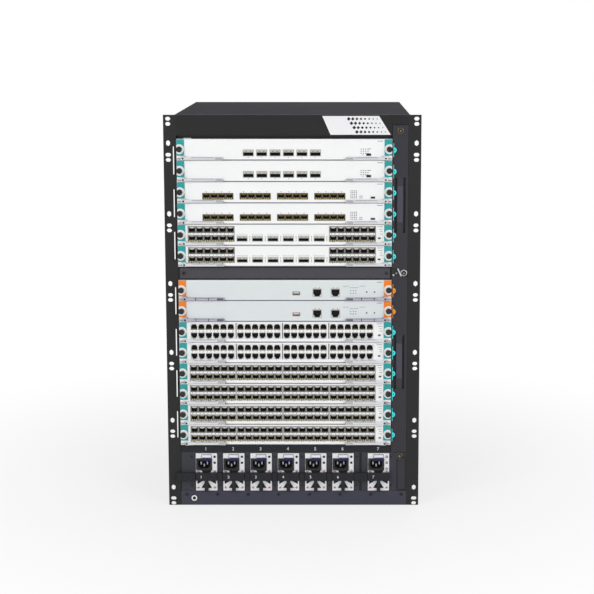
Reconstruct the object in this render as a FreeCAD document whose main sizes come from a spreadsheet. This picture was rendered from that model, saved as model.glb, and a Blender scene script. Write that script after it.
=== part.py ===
import FreeCAD, Part
import math
import os

import Sketcher

# Modular chassis switch: a seventeen-unit rack chassis with fourteen horizontal plug-in cards,
# two vertical fan trays and seven power modules.  Millimetres, +Z up, the front faces -Y.
# Places along the depth are given as a distance forward of the middle, so forward = -Y.

V = FreeCAD.Vector

LOW_SLOTS = 8
HIGH_SLOTS = 6
POWER_MODULES = 7
FANS_PER_TRAY = 3
BLADES = 5
# Cards from the top slot down.  Past the file limit the levers of the last six are fused on.
CARD_KINDS = (["uplink"] * 2 + ["fibre_row"] * 2 + ["mixed"] * 2 + ["supervisor"] * 2
              + ["copper"] * 2 + ["fibre"] * 4)
HINGED_CARDS = 8
# Round details are drawn with few sides, because most of them repeat many times.
PIN_SIDES = 6
SCREW_SIDES = 6
AXLE_SIDES = 6
STUD_SIDES = 8
ROTOR_SIDES = 10
RACK_PAIRS = 6
PANEL_SCREWS = 8

SIZES = {
    # chassis
    "rack_width": 482.6, "body_width": 440, "depth": 460, "sheet": 2, "front_plate": 2.5,
    "ear_lap": 0.8, "ear_leg": 40, "seam": 0.8,
    # vents of the hidden sides
    "rear_vent_w": 117.6, "rear_vent_h": 4, "rear_vent_step": 10, "intake_l": 230, "intake_h": 14, "intake_rise": 16, "exhaust_w": 20,
    # zones of the front, from the base up
    "fascia_h": 28.5, "power_h": 92.1, "slot_pitch": 40.3, "divider_h": 25.4,
    "crown_gap": 6.2, "crown_h": 38.45,
    # rack holes in the ears
    "rack_inset": 8.75, "rack_slot_w": 6.9, "rack_slot_len": 10.3, "rack_pitch": 133.35,
    "rack_first": 13.4, "rack_pair": 9.7, "rack_top": 7.3, "oval_rise": 21.8,
    "oval_h": 11, "oval_w": 7.4,
    "tie_w": 4.4, "tie_h": 52.5, "tie_rise": 13.4, "tie_inset": 0.6, "tie_notch": 6,
    # columns
    "card_gap": 1.4, "fan_w": 29.4, "fan_gap": 1, "column_gap": 0.8, "wall_back": 2.3,
    # plug-in cards
    "face_deep": 11, "face_proud": 3, "port_deep": 10, "block_w": 14.3, "block_proud": 1,
    "block_rise": 9.2, "carrier_rise": 3, "carrier_t": 1.6, "carrier_side": 3.2,
    "rail_t": 2, "rail_lap": 5.4, "sink_w": 300, "sink_h": 20, "sink_l": 150,
    "plug_w": 240, "plug_h": 14, "plug_l": 12, "screw_r": 5.3, "screw_l": 8,
    "screw_in": 5.2, "screw_rise": 21,
    # ejector levers
    "lever_h": 5.4, "lever_rise": 1.3, "lever_l": 74.3, "pivot_in": 12, "knuckle": 3.3,
    "knuckle_cut": 1.4, "lever_gap": 0.3, "arm_t": 4, "arm_neck": 14, "grip_l": 15,
    "grip_t": 5.6, "pin_r": 1.2, "pin_gap": 0.35, "lug_t": 2.2, "lug_w": 8,
    # ports: one size for each kind of socket
    "port_rise": 8.4, "row_step": 16.1,
    "quad_w": 19.3, "quad_h": 11.5, "quad_pitch": 25.1, "quad_x": 124.6,
    "sfp_w": 12.6, "sfp_h": 9.6, "sfp_pitch": 14.4, "quartet_pitch": 70.1, "quartet_x": 48.6,
    "fibre_x": 20.6, "fibre_block": 89, "fibre_step": 14.5, "fibre_h": 11.4,
    "copper_x": 22.4, "copper_block": 88.2, "copper_step": 13.96, "copper_w": 12, "copper_h": 11.1,
    "mixed_right_x": 286.9, "mixed_quad_x": 111.6, "mixed_quad_pitch": 29.1, "mixed_quad_h": 10,
    "mgmt_x": 254.9, "mgmt_pitch": 34.7, "mgmt_w": 15.6, "mgmt_h": 14.6, "usb_x": 216.6,
    "usb_w": 13.2, "usb_h": 6, "service_x": 354.9, "service_w": 9.2, "service_h": 4.8,
    # power modules
    "bay_x": 48.5, "bay_pitch": 52.72, "bay_extra": 15.7, "module_w": 41, "module_h": 74,
    "module_proud": 2, "bay_gap": 0.5, "shelf_rise": 1, "handle_rise": 21.3, "handle_h": 15.1,
    "handle_proud": 9, "stem_w": 7, "handle_deep": 4, "inlet_w": 24, "inlet_h": 17,
    "inlet_rise": 43.8, "inlet_in": 4, "inlet_deep": 12, "prong_w": 2, "prong_h": 5,
    "prong_l": 8.4, "prong_step": 6,
    "latch_w": 18, "latch_h": 4.6, "latch_rise": 61.1, "latch_in": 12.2, "latch_proud": 5,
    "fan_rise": 22.9, "fan_r": 18, "fan_hub": 6, "sector_half": 10.4, "grille_deep": 6,
    # backplane
    "plane_y": 186, "plane_t": 4, "socket_l": 12, "socket_w": 240, "socket_h": 14,
    # fan trays
    "tray_head": 19.15, "tray_foot": 15.6, "joint_drop": 6.2, "joint_slope": 7.2,
    "joint_half": 3, "tray_deep": 24, "grip_w": 21, "grip_h": 105, "grip_deep": 20,
    "bar_w": 11, "bar_t": 5, "grip_rise": 64, "low_grip_rise": 110, "tray_t": 1.5,
    "tray_back": 200, "tray_edge": 3.6, "rotor_case": 80, "rotor_case_t": 24,
    "rotor_r": 36, "rotor_gap": 2.8, "rotor_hub": 14, "rotor_l": 16, "blade_t": 1.8,
    "blade_w": 17, "blade_root": 9.8, "blade_pitch": 32, "axle_r": 1.8, "strut_w": 6,
    "strut_t": 2.5, "axle_l": 14, "ledge_w": 12, "tray_screw_r": 4.2, "tray_screw_l": 4,
    "low_screw_in": 8.3, "high_screw_in": 6.8,
    # corner cover and small screws
    "cover_in": 10.8, "cover_foot": 1.2, "cover_deep": 2.5, "cover_screw_in": 5.8,
    "stud_r": 3, "stud_l": 1.6, "stud_in": 9.7, "stud_pitch": 59.31, "jack_r": 6.6,
}

DERIVED = {
    "front": "=depth / 2",
    "inner": "=body_width / 2 - sheet",
    "edge": "=body_width / 2 - sheet - ear_lap",
    "card_x": "=card_gap - inner",
    "fan_x": "=inner - fan_gap - fan_w",
    "card_w": "=fan_x - column_gap - card_x",
    "wall_x": "=fan_x - column_gap - wall_back",
    "low_z": "=fascia_h + power_h",
    "mid_z": "=low_z + %d * slot_pitch" % LOW_SLOTS,
    "high_z": "=mid_z + divider_h",
    "bank_z": "=high_z + %d * slot_pitch" % HIGH_SLOTS,
    "crown_z": "=bank_z + crown_gap",
    "height": "=crown_z + crown_h",
    "face_rear": "=front - face_deep",
    "face_front": "=front + face_proud",
    "carrier_w": "=wall_x - column_gap - card_x - carrier_side",
    "plane_front": "=-plane_y",
    "plug_rear": "=socket_l - plane_y",
    "module_z": "=fascia_h + shelf_rise",
    "tray_top": "=height - tray_head",
    "joint_z": "=high_z - 2 * joint_drop",
    "tray_low": "=low_z - tray_foot",
}

doc = FreeCAD.newDocument("chassis_switch")
sheet = doc.addObject("Spreadsheet::Sheet", "dims")
for row, (word, value) in enumerate(list(SIZES.items()) + list(DERIVED.items()), start=1):
    sheet.set("A%d" % row, word)
    sheet.set("B%d" % row, str(value))
    sheet.setAlias("B%d" % row, word)
doc.recompute()


def size(word):
    """Value of a named size, read from the sheet."""
    return float(getattr(sheet, word))


def bind(target, **formulas):
    """Bind properties to formulas that are written with the sheet's plain words."""
    for name, formula in formulas.items():
        target.setExpression(name.replace("__", "."), words(formula))


def words(formula):
    """Put the sheet's name before each of its words in a formula."""
    known = set(SIZES) | set(DERIVED)
    out, word = [], ""
    for mark in str(formula) + " ":
        if mark.isalnum() or mark == "_":
            word += mark
            continue
        out.append("dims." + word if word in known else word)
        out.append(mark)
        word = ""
    return "".join(out).strip()


def new_body(label):
    body = doc.addObject("PartDesign::Body", label)
    body.Label = label
    return body


def new_sketch(body, role, offset="0", origin=("0", "0")):
    """A sketch on one of the body's own planes; offset is along the plane's normal."""
    base = next(one for one in body.Origin.OriginFeatures if one.Role == role)
    sketch = body.newObject("Sketcher::SketchObject", "sketch")
    sketch.AttachmentSupport = [(base, "")]
    sketch.MapMode = "FlatFace"
    sketch.setExpression("AttachmentOffset.Base.x", words(origin[0]))
    sketch.setExpression("AttachmentOffset.Base.y", words(origin[1]))
    sketch.setExpression("AttachmentOffset.Base.z", words(offset))
    return sketch


def polygon(sketch, points):
    """A closed outline whose corners are placed by pairs of formulas."""
    count = len(points)
    ring = [V(10 * math.cos(2 * math.pi * n / count), 10 * math.sin(2 * math.pi * n / count), 0)
            for n in range(count)]
    places = []
    for n, (across, up) in enumerate(points):
        places.append(("DistanceX", (-1, 1, n, 1), across, ring[n].x))
        places.append(("DistanceY", (-1, 1, n, 1), up, ring[n].y))
    outline(sketch, ring, [], places)


def rectangle(sketch, x, y, w, h):
    """A box outline: one corner is placed, the sides are level and upright."""
    ring = [V(0, 0, 0), V(9, 0, 0), V(9, 6, 0), V(0, 6, 0)]
    sides = [("Horizontal" if n % 2 == 0 else "Vertical", n) for n in range(4)]
    outline(sketch, ring, sides, [("DistanceX", (-1, 1, 0, 1), x, 0.0),
                                  ("DistanceY", (-1, 1, 0, 1), y, 0.0),
                                  ("DistanceX", (0, 1, 0, 2), w, 9.0),
                                  ("DistanceY", (1, 1, 1, 2), h, 6.0)])


def outline(sketch, ring, sides, places):
    """Straight sides joined into a ring, with rules for sides and formulas for places."""
    first, rule = sketch.GeometryCount, sketch.ConstraintCount
    count = len(ring)
    sketch.addGeometry([Part.LineSegment(ring[n], ring[(n + 1) % count])
                        for n in range(count)], False)
    make = Sketcher.Constraint
    rules = [make("Coincident", first + n, 2, first + (n + 1) % count, 1)
             for n in range(count)]
    rules += [make(kind, first + n) for kind, n in sides]
    named = rule + len(rules)
    for kind, at, formula, value in places:
        shifted = tuple(first + one if n % 2 == 0 and one >= 0 else one
                        for n, one in enumerate(at))
        rules.append(make(kind, *shifted, value))
    sketch.addConstraint(rules)
    bind_sizes(sketch, named, [one[2] for one in places])


def bind_sizes(sketch, start, formulas):
    """Bind a run of a sketch's sizes to formulas."""
    for n, formula in enumerate(formulas, start=start):
        sketch.renameConstraint(n, "size%d" % n)
        sketch.setExpression("Constraints.size%d" % n, words(formula))


def stadium(sketch, x, y, length, width, upright=False):
    """A round-ended slot centred at (x, y): two arcs joined by two straight sides."""
    first = sketch.GeometryCount
    low, high = V(-3, 0, 0), V(3, 0, 0)
    turn = math.pi / 2
    axis = V(0, 0, 1)
    if upright:
        low, high, turn = V(0, -3, 0), V(0, 3, 0), math.pi
    sketch.addGeometry(Part.ArcOfCircle(Part.Circle(low, axis, 2), turn, turn + math.pi), False)
    sketch.addGeometry(Part.ArcOfCircle(Part.Circle(high, axis, 2), turn + math.pi,
                                        turn + 2 * math.pi), False)
    corner = [sketch.getPoint(first, 1), sketch.getPoint(first, 2),
              sketch.getPoint(first + 1, 1), sketch.getPoint(first + 1, 2)]
    sketch.addGeometry(Part.LineSegment(corner[1], corner[2]), False)
    sketch.addGeometry(Part.LineSegment(corner[3], corner[0]), False)
    for one in ((first, 2, first + 2, 1), (first + 2, 2, first + 1, 1),
                (first + 1, 2, first + 3, 1), (first + 3, 2, first, 1)):
        sketch.addConstraint(Sketcher.Constraint("Tangent", *one))
    sketch.addConstraint(Sketcher.Constraint("Equal", first, first + 1))
    half = "(%s - %s) / 2" % (length, width)
    low_x, low_y = (x, "%s - %s" % (y, half)) if upright else ("%s - %s" % (x, half), y)
    high_x, high_y = (x, "%s + %s" % (y, half)) if upright else ("%s + %s" % (x, half), y)
    places = (("DistanceX", (-1, 1, first, 3), low_x, low.x),
              ("DistanceY", (-1, 1, first, 3), low_y, low.y),
              ("DistanceX", (-1, 1, first + 1, 3), high_x, high.x),
              ("DistanceY", (-1, 1, first + 1, 3), high_y, high.y),
              ("Radius", (first,), width + " / 2", 2.0))
    start = sketch.ConstraintCount
    sketch.addConstraint([Sketcher.Constraint(kind, *at, value)
                          for kind, at, formula, value in places])
    bind_sizes(sketch, start, [one[2] for one in places])


def pad(body, sketch, length, reverse=False):
    feature = body.newObject("PartDesign::Pad", "pad")
    feature.Profile = sketch
    feature.Reversed = reverse
    bind(feature, Length=length)
    sketch.Visibility = False
    return feature


def pocket(body, sketch, depth, through=False):
    feature = body.newObject("PartDesign::Pocket", "pocket")
    feature.Profile = sketch
    if through:
        feature.Type = "ThroughAll"
        feature.Midplane = True
    else:
        bind(feature, Length=depth)
    sketch.Visibility = False
    return feature


def grid(body, features, sketch, *rows):
    """Repeat features; each row is (sketch axis, count, step) and rows multiply."""
    originals = features if isinstance(features, list) else [features]
    steps = []
    for axis, count, step in rows:
        if count < 2:
            continue
        one = doc.addObject("PartDesign::LinearPattern", "row")
        one.Direction = (sketch, [axis])
        one.Occurrences = count
        bind(one, Length="%d * (%s)" % (count - 1, step))
        steps.append(one)
    if not steps:
        return originals[-1]
    whole = body.newObject("PartDesign::MultiTransform", "grid")
    whole.Originals = originals
    whole.Transformations = steps
    for one in steps:
        one.Visibility = False
    body.Tip = whole
    return whole


def front_pad(body, rects, start, length):
    """Blocks with outlines seen from the front, from start forward by length."""
    sketch = new_sketch(body, "XZ_Plane", start)
    for one in rects:
        rectangle(sketch, *one)
    return pad(body, sketch, length), sketch


def front_pocket(body, rects, face, depth, *rows):
    """Recesses cut from a face that looks forward, repeated in rows."""
    sketch = new_sketch(body, "XZ_Plane", face)
    for one in rects:
        rectangle(sketch, *one)
    cut = pocket(body, sketch, depth)
    return grid(body, cut, sketch, *rows)


def regular(sketch, x, y, radius, sides):
    """A regular outline about (x, y), its corners placed by angle."""
    turn = 2 * math.pi / sides
    polygon(sketch, [("%s + (%s) * (%.6f)" % (x, radius, math.cos(turn * n)),
                      "%s + (%s) * (%.6f)" % (y, radius, math.sin(turn * n)))
                     for n in range(sides)])


def prism(body, role, offset, x, y, radius, length, sides, cut=False):
    """A regular prism that stands on a plane of the body, or is cut down from there."""
    base = next(one for one in body.Origin.OriginFeatures if one.Role == role)
    kind = "PartDesign::SubtractivePrism" if cut else "PartDesign::AdditivePrism"
    feature = body.newObject(kind, "prism")
    feature.AttachmentSupport = [(base, "")]
    feature.MapMode = "FlatFace"
    feature.Polygon = sides
    start = "%s - (%s)" % (offset, length) if cut else offset
    bind(feature, Circumradius=radius, Height=length, AttachmentOffset__Base__x=x,
         AttachmentOffset__Base__y=y, AttachmentOffset__Base__z=start)
    return feature


def slot_z(slot):
    """Bottom of a card slot; slot 0 is the top one."""
    if slot < HIGH_SLOTS:
        return "high_z + %d * slot_pitch" % (HIGH_SLOTS - 1 - slot)
    return "low_z + %d * slot_pitch" % (LOW_SLOTS + HIGH_SLOTS - 1 - slot)


def bay_x(bay):
    """Centre of a power bay; the last bay stands a little apart."""
    extra = " + bay_extra" if bay == POWER_MODULES - 1 else ""
    return "card_x + bay_x + %d * bay_pitch%s" % (bay, extra)


# ---------------------------------------------------------------- chassis shell

def base_plate():
    body = new_body("base_plate")
    sketch = new_sketch(body, "XY_Plane")
    rectangle(sketch, "-inner", "front_plate - front", "2 * inner", "depth - front_plate - sheet")
    pad(body, sketch, "sheet")


def top_cover():
    body = new_body("top_cover")
    sketch = new_sketch(body, "XY_Plane", "height - sheet")
    rectangle(sketch, "-body_width / 2", "front_plate - front", "body_width",
              "depth - front_plate")
    pad(body, sketch, "sheet")


def rear_panel():
    body = new_body("rear_panel")
    front_pad(body, [("-inner", "sheet", "2 * inner", "height - 2 * sheet")],
              "-front", "sheet")
    front_pocket(body, [("-(inner + rear_vent_w) / 2", "low_z / 2", "rear_vent_w",
                         "rear_vent_h")], "sheet - front", "2 * sheet",
                 ("H_Axis", 2, "inner"), ("V_Axis", 5, "rear_vent_step"))


def side_shell(label, start):
    body = new_body(label)
    sketch = new_sketch(body, "YZ_Plane", start)
    rectangle(sketch, "front_plate - front", "0", "depth - front_plate", "height - sheet")
    pad(body, sketch, "sheet")
    return body


def left_side_panel():
    """Intake side: a long vent beside each card, and the left card rails."""
    body = side_shell("left_side_panel", "-body_width / 2")
    for bank, count in (("high_z", HIGH_SLOTS), ("low_z", LOW_SLOTS)):
        vents = new_sketch(body, "YZ_Plane", "-inner")
        rectangle(vents, "-intake_l / 2", "%s + intake_rise" % bank, "intake_l", "intake_h")
        grid(body, pocket(body, vents, "2 * sheet"), vents, ("V_Axis", count, "slot_pitch"))
    rail_rows(body, "-inner", "card_gap + carrier_side + rail_lap")


def rail_rows(body, start, reach):
    """Two banks of level rails that stand out of a wall towards +X."""
    for bank, count in (("high_z", HIGH_SLOTS), ("low_z", LOW_SLOTS)):
        sketch = new_sketch(body, "YZ_Plane", start)
        rectangle(sketch, "face_deep + rail_lap - front", "%s + carrier_rise - rail_t" % bank,
                  "front + plane_y - 3 * socket_l", "rail_t")
        grid(body, pad(body, sketch, reach), sketch, ("V_Axis", count, "slot_pitch"))


def right_side_panel():
    """Exhaust side: a set of vents by each fan, and the ledges that carry the trays."""
    body = side_shell("right_side_panel", "inner")
    for foot, tall in tray_spans():
        vents = new_sketch(body, "YZ_Plane", "body_width / 2")
        rectangle(vents, "-rotor_case / 2", "%s + (%s) / 6 - rotor_case / 2" % (foot, tall),
                  "exhaust_w", "rotor_case")
        grid(body, pocket(body, vents, "2 * sheet"), vents,
             ("H_Axis", 2, "rotor_case - exhaust_w"),
             ("V_Axis", FANS_PER_TRAY, "(%s) / 3" % tall))
        ledge = new_sketch(body, "YZ_Plane", "inner")
        rectangle(ledge, "tray_deep + rail_lap - front", "%s - sheet" % foot,
                  "front + tray_back - 2 * tray_deep", "sheet")
        pad(body, ledge, "ledge_w", reverse=True)


def tray_spans():
    """Foot and height formulas of the space behind each tray front, lower tray first."""
    low = "(tray_low + tray_edge)"
    high = "(joint_z + joint_slope + tray_edge)"
    return ((low, "joint_z - joint_slope - tray_edge - %s" % low),
            (high, "tray_top - tray_edge - %s" % high))


def rack_ear(label, side):
    """Folded angle: a flange with rack holes and a leg along the side wall."""
    left = side < 0
    body = new_body(label)
    flange_x = "-rack_width / 2" if left else "edge"
    front_pad(body, [(flange_x, "0", "rack_width / 2 - edge", "height")],
              "front - front_plate", "front_plate")
    leg = new_sketch(body, "YZ_Plane", "-body_width / 2 - front_plate" if left
                     else "body_width / 2")
    rectangle(leg, "front_plate - front", "0", "ear_leg", "height - sheet")
    pad(body, leg, "front_plate")
    hole_x = "%s(rack_width / 2 - rack_inset)" % ("-" if left else "")
    slot = ("rack_slot_len", "rack_slot_w")
    ends = new_sketch(body, "XZ_Plane", "front")
    for rise in ("rack_first", "rack_first + %d * rack_pitch" % (RACK_PAIRS - 1)):
        stadium(ends, hole_x, rise, *slot)
    pocket(body, ends, "2 * front_plate")
    spare = new_sketch(body, "XZ_Plane", "front")
    pointed_slot(spare, hole_x, "rack_first - rack_pair", *slot)
    pointed_slot(spare, hole_x, "rack_first + oval_rise", "oval_h", "oval_w", upright=True)
    grid(body, pocket(body, spare, "2 * front_plate"), spare,
         ("V_Axis", RACK_PAIRS, "rack_pitch"))
    middle = new_sketch(body, "XZ_Plane", "front")
    pointed_slot(middle, hole_x, "rack_first + rack_pitch", *slot)
    grid(body, pocket(body, middle, "2 * front_plate"), middle,
         ("V_Axis", RACK_PAIRS - 2, "rack_pitch"))
    top = new_sketch(body, "XZ_Plane", "front")
    for drop in ("rack_top", "rack_top + rack_pair"):
        pointed_slot(top, hole_x, "height - (%s)" % drop, *slot)
    pocket(body, top, "2 * front_plate")
    if left:
        tie_slots(body)


def pointed_slot(sketch, x, y, length, width, upright=False):
    """A slot with six straight sides, few enough to repeat forty times."""
    ring = (("2", "0"), ("1", "2"), ("-1", "2"), ("-2", "0"), ("-1", "-2"), ("1", "-2"))
    corners = [("%s / 4 * (%s)" % (length, along), "%s / 4 * (%s)" % (width, across))
               for along, across in ring]
    if upright:
        corners = [(across, along) for along, across in corners]
    polygon(sketch, [("%s + %s" % (x, dx), "%s + %s" % (y, dy)) for dx, dy in corners])


def tie_slots(body):
    """Long upright openings of the left ear, one by each two card slots."""
    for bank, count in (("high_z", HIGH_SLOTS), ("low_z", LOW_SLOTS)):
        step = ("V_Axis", count // 2, "2 * slot_pitch")
        front_pocket(body, [("tie_inset - body_width / 2 - tie_w", "%s + tie_rise" % bank,
                             "tie_w", "tie_h")], "front", "front_plate + tie_notch", step)


def front_plates():
    crown = new_body("top_fascia")
    sketch = new_sketch(crown, "XZ_Plane", "front - front_plate")
    polygon(sketch, [("-edge", "crown_z"), ("fan_x - column_gap", "crown_z"),
                     ("fan_x - column_gap", "tray_top + seam"), ("edge", "tray_top + seam"),
                     ("edge", "height"), ("-edge", "height")])
    pad(crown, sketch, "front_plate")
    front_pad(crown, [("-edge", "crown_z", "edge + fan_x - column_gap", "sheet")],
              "front - front_plate - 4 * sheet", "4 * sheet")

    divider = new_body("divider_panel")
    front_pad(divider, [("card_x", "mid_z + seam / 2", "card_w", "divider_h - seam")],
              "front - front_plate", "front_plate")
    shelf = new_sketch(divider, "XY_Plane", "mid_z + divider_h / 2")
    rectangle(shelf, "-inner", "front_plate - front", "wall_x + inner",
              "front - front_plate + plane_y")
    pad(divider, shelf, "sheet")

    fascia = new_body("bottom_fascia")
    front_pad(fascia, [("-edge", "0", "2 * edge", "fascia_h")],
              "front - front_plate", "front_plate")
    prism(fascia, "XZ_Plane", "front", "card_x + bay_x / 2", "fascia_h / 2",
          "jack_r", "stud_l", ROTOR_SIDES)
    prism(fascia, "XZ_Plane", "front + stud_l", "card_x + bay_x / 2", "fascia_h / 2",
          "stud_r", "2 * stud_l", STUD_SIDES, cut=True)


def fan_bay_wall():
    """Partition between the cards and the fans, with a window by each two slots."""
    body = new_body("fan_bay_wall")
    wall = new_sketch(body, "YZ_Plane", "wall_x")
    rectangle(wall, "face_deep + rail_lap - front", "sheet",
              "front + plane_y - face_deep - rail_lap", "height - 2 * sheet")
    pad(body, wall, "tray_t")
    for bank, count in (("high_z", HIGH_SLOTS), ("low_z", LOW_SLOTS)):
        window = new_sketch(body, "YZ_Plane", "wall_x + tray_t")
        rectangle(window, "-front / 2", "%s + tie_rise" % bank, "front", "slot_pitch / 2")
        grid(body, pocket(body, window, "2 * tray_t"), window,
             ("V_Axis", count, "slot_pitch"))
    rail_rows(body, "wall_x - column_gap - rail_lap", "column_gap + rail_lap")


def power_bay_frame():
    """Comb-shaped front with a header, floor, ceiling and the upright walls between bays."""
    body = new_body("power_bay_frame")
    front_pad(body, [("card_x", "fascia_h + seam / 2", "card_w", "power_h - seam")],
              "front - front_plate", "front_plate")
    front_pad(body, [("card_x + card_w", "fascia_h + seam / 2", "column_gap + cover_in",
                      "tray_low - fascia_h - seam")],
              "front - front_plate", "front_plate")
    for z, name in (("module_z - sheet", "floor"), ("low_z - seam / 2 - sheet", "ceiling")):
        plate = new_sketch(body, "XY_Plane", z)
        rectangle(plate, "-inner", "front_plate - front", "wall_x + inner",
                  "front - front_plate + plane_y")
        pad(body, plate, "sheet")
    windows = new_sketch(body, "XZ_Plane", "front")
    for bay in range(POWER_MODULES):
        rectangle(windows, "%s - module_w / 2 - bay_gap" % bay_x(bay), "module_z - sheet",
                  "module_w + 2 * bay_gap", "module_h + sheet + bay_gap")
    pocket(body, windows, "front_plate")
    for bay in range(1, POWER_MODULES):
        web = new_sketch(body, "YZ_Plane", "(%s + %s) / 2 - sheet / 2"
                         % (bay_x(bay - 1), bay_x(bay)))
        rectangle(web, "front_plate - front", "module_z", "front - front_plate + plane_y",
                  "low_z - seam / 2 - sheet - module_z")
        pad(body, web, "sheet")
    handle_z = "module_z + handle_rise"
    bars = [("-edge - 2 * stud_l - handle_deep", handle_z,
             "edge + 2 * stud_l + handle_deep + %s - module_w / 2 - 2 * bay_gap" % bay_x(0),
             "handle_h")]
    for bay in range(1, POWER_MODULES):
        start = "%s + module_w / 2 + 2 * bay_gap" % bay_x(bay - 1)
        bars.append((start, handle_z, "%s - module_w / 2 - 2 * bay_gap - (%s)"
                     % (bay_x(bay), start), "handle_h"))
    front_pad(body, bars, "front", "handle_proud")


def corner_cover():
    body = new_body("corner_cover")
    x = "fan_x + cover_in"
    front_pad(body, [(x, "fascia_h + cover_foot", "edge - fan_x - cover_in",
                      "tray_low - fascia_h - cover_foot - seam")],
              "front - cover_deep", "cover_deep")
    front_pad(body, [(x + " + sheet", "fascia_h + cover_foot + sheet",
                      "edge - fan_x - cover_in - 2 * sheet",
                      "tray_low - fascia_h - cover_foot - seam - 6 * sheet")], "front", "stud_l")
    prism(body, "XZ_Plane", "front", x + " + cover_screw_in", "tray_low - seam - screw_r",
          "screw_r", "screw_l / 2", STUD_SIDES)


def backplane():
    """Circuit board across the bay with a long socket for each card and each module."""
    body = new_body("backplane")
    front_pad(body, [("-inner", "module_z - sheet", "wall_x + tray_t + inner",
                      "bank_z - module_z + sheet")], "plane_front - plane_t", "plane_t")
    for bank, count in (("high_z", HIGH_SLOTS), ("low_z", LOW_SLOTS)):
        socket, outline = front_pad(
            body, [("card_x + (card_w - socket_w) / 2", "%s + carrier_rise + carrier_t" % bank,
                    "socket_w", "socket_h")], "plane_front", "socket_l")
        grid(body, socket, outline, ("V_Axis", count, "slot_pitch"))
    front_pad(body, [("%s - module_w / 4" % bay_x(bay), "module_z + module_h / 3", "module_w / 2",
                      "socket_h") for bay in range(POWER_MODULES)], "plane_front", "socket_l")


def panel_screws():
    """Small screws of the front plates, a group of separate solids."""
    feature = doc.addObject("Part::Feature", "panel_screws")
    feature.Label = "panel_screws"
    face, low = size("front"), size("fascia_h") - size("cover_foot") - 2 * size("stud_r")
    first, last = (size("card_x") + size("stud_in"),
                   size("card_x") + size("card_w") - size("stud_in"))
    middle = size("mid_z") + size("divider_h") / 2
    spots = [(first + n * size("stud_pitch"), low) for n in range(PANEL_SCREWS)]
    spots += [(first, middle), (last, middle)]
    heads = []
    for x, z in spots:
        ring = [V(x + size("stud_r") * math.cos(math.pi * n / 3), -face,
                  z + size("stud_r") * math.sin(math.pi * n / 3)) for n in range(7)]
        heads.append(Part.Face(Part.makePolygon(ring)).extrude(V(0, -size("stud_l"), 0)))
    feature.Shape = Part.makeCompound(heads)


# ---------------------------------------------------------------- plug-in cards

def port_rows(kind):
    """Port outlines of a kind of card, each with the rows that repeat it."""
    z = "port_rise"
    if kind == "uplink":
        return [(("quad_x", z, "quad_w", "quad_h"), [("H_Axis", 6, "quad_pitch")]),
                (("service_x", z, "service_w", "service_h"), [])]
    if kind == "fibre_row":
        return [(("quartet_x", z, "sfp_w", "sfp_h"),
                 [("H_Axis", 4, "sfp_pitch"), ("H_Axis", 4, "quartet_pitch")])]
    if kind == "mixed":
        return [(("fibre_x", z, "sfp_w", "row_step + fibre_h"),
                 [("H_Axis", 6, "fibre_step"), ("H_Axis", 2, "mixed_right_x - fibre_x")]),
                (("mixed_quad_x", z, "quad_w", "mixed_quad_h"),
                 [("H_Axis", 6, "mixed_quad_pitch")])]
    if kind == "supervisor":
        return [(("mgmt_x", z, "mgmt_w", "mgmt_h"), [("H_Axis", 2, "mgmt_pitch")]),
                (("usb_x", z + " + usb_h / 2", "usb_w", "usb_h"), [])]
    if kind == "copper":
        return [(("copper_x", z, "copper_w", "row_step + copper_h"),
                 [("H_Axis", 6, "copper_step"), ("H_Axis", 4, "copper_block")])]
    return [(("fibre_x", z, "sfp_w", "row_step + fibre_h"),
             [("H_Axis", 6, "fibre_step"), ("H_Axis", 4, "fibre_block")])]


def lever_outline(side):
    """Plan outline of a lever about its pivot: knuckle, slim arm and thicker grip."""
    points = [("-knuckle", "knuckle_cut"), ("-knuckle_cut", "knuckle"), ("lever_l", "knuckle"),
              ("lever_l", "knuckle - grip_t"), ("lever_l - grip_l", "knuckle - arm_t"),
              ("arm_neck", "knuckle - arm_t"), ("knuckle_cut", "-knuckle"),
              ("-knuckle", "-knuckle_cut")]
    return [("%s(%s)" % (side, x), y) for x, y in points]


def lever_place(slot, side):
    """Pivot of a lever as formulas for X, Y and the underside."""
    x = "card_x + pivot_in" if side == "" else "card_x + card_w - pivot_in"
    return x, "-face_front - lever_gap - knuckle", "%s + lever_rise" % slot_z(slot)


def ejector_lever(slot, side, label):
    body = new_body(label)
    x, y, z = lever_place(slot, side)
    plan = new_sketch(body, "XY_Plane", z, (x, y))
    polygon(plan, lever_outline(side))
    pad(body, plan, "lever_h")
    prism(body, "XY_Plane", z + " + lever_h", x, y, "(pin_r + pin_gap)", "lever_h + seam",
          PIN_SIDES, cut=True)


def switch_card(slot, kind):
    """Face with real port recesses, end blocks, captive screws, lever pivots, board."""
    body = new_body("card_%02d_%s" % (slot + 1, kind))
    z = slot_z(slot)
    front_pad(body, [("card_x", z + " + seam / 2", "card_w", "slot_pitch - seam")],
              "face_rear", "face_deep + face_proud")
    front_pad(body, [(x, z + " + block_rise", "block_w", "slot_pitch - block_rise - seam")
                     for x in ("card_x", "card_x + card_w - block_w")],
              "face_front", "block_proud")
    for x in ("card_x + screw_in", "card_x + card_w - screw_in"):
        prism(body, "XZ_Plane", "face_front + block_proud", x, z + " + screw_rise",
              "screw_r", "screw_l", SCREW_SIDES)
    carrier = "%s + carrier_rise" % z
    front_pad(body, [("card_x + carrier_side", carrier, "carrier_w", "carrier_t")],
              "plug_rear", "face_rear - plug_rear")
    middle = "card_x + card_w / 2"
    front_pad(body, [("%s - plug_w / 2" % middle, carrier, "plug_w", "plug_h + carrier_t")],
              "plug_rear", "plug_l")
    front_pad(body, [("%s - sink_w / 2" % middle, carrier, "sink_w", "sink_h")],
              "-sink_l / 2", "sink_l")
    for side in ("", "-"):
        card_pivot(body, slot, side)
    for (x, up, w, h), rows in port_rows(kind):
        front_pocket(body, [("card_x + " + x, "%s + %s" % (z, up), w, h)], "face_front",
                     "port_deep", *rows)


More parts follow.
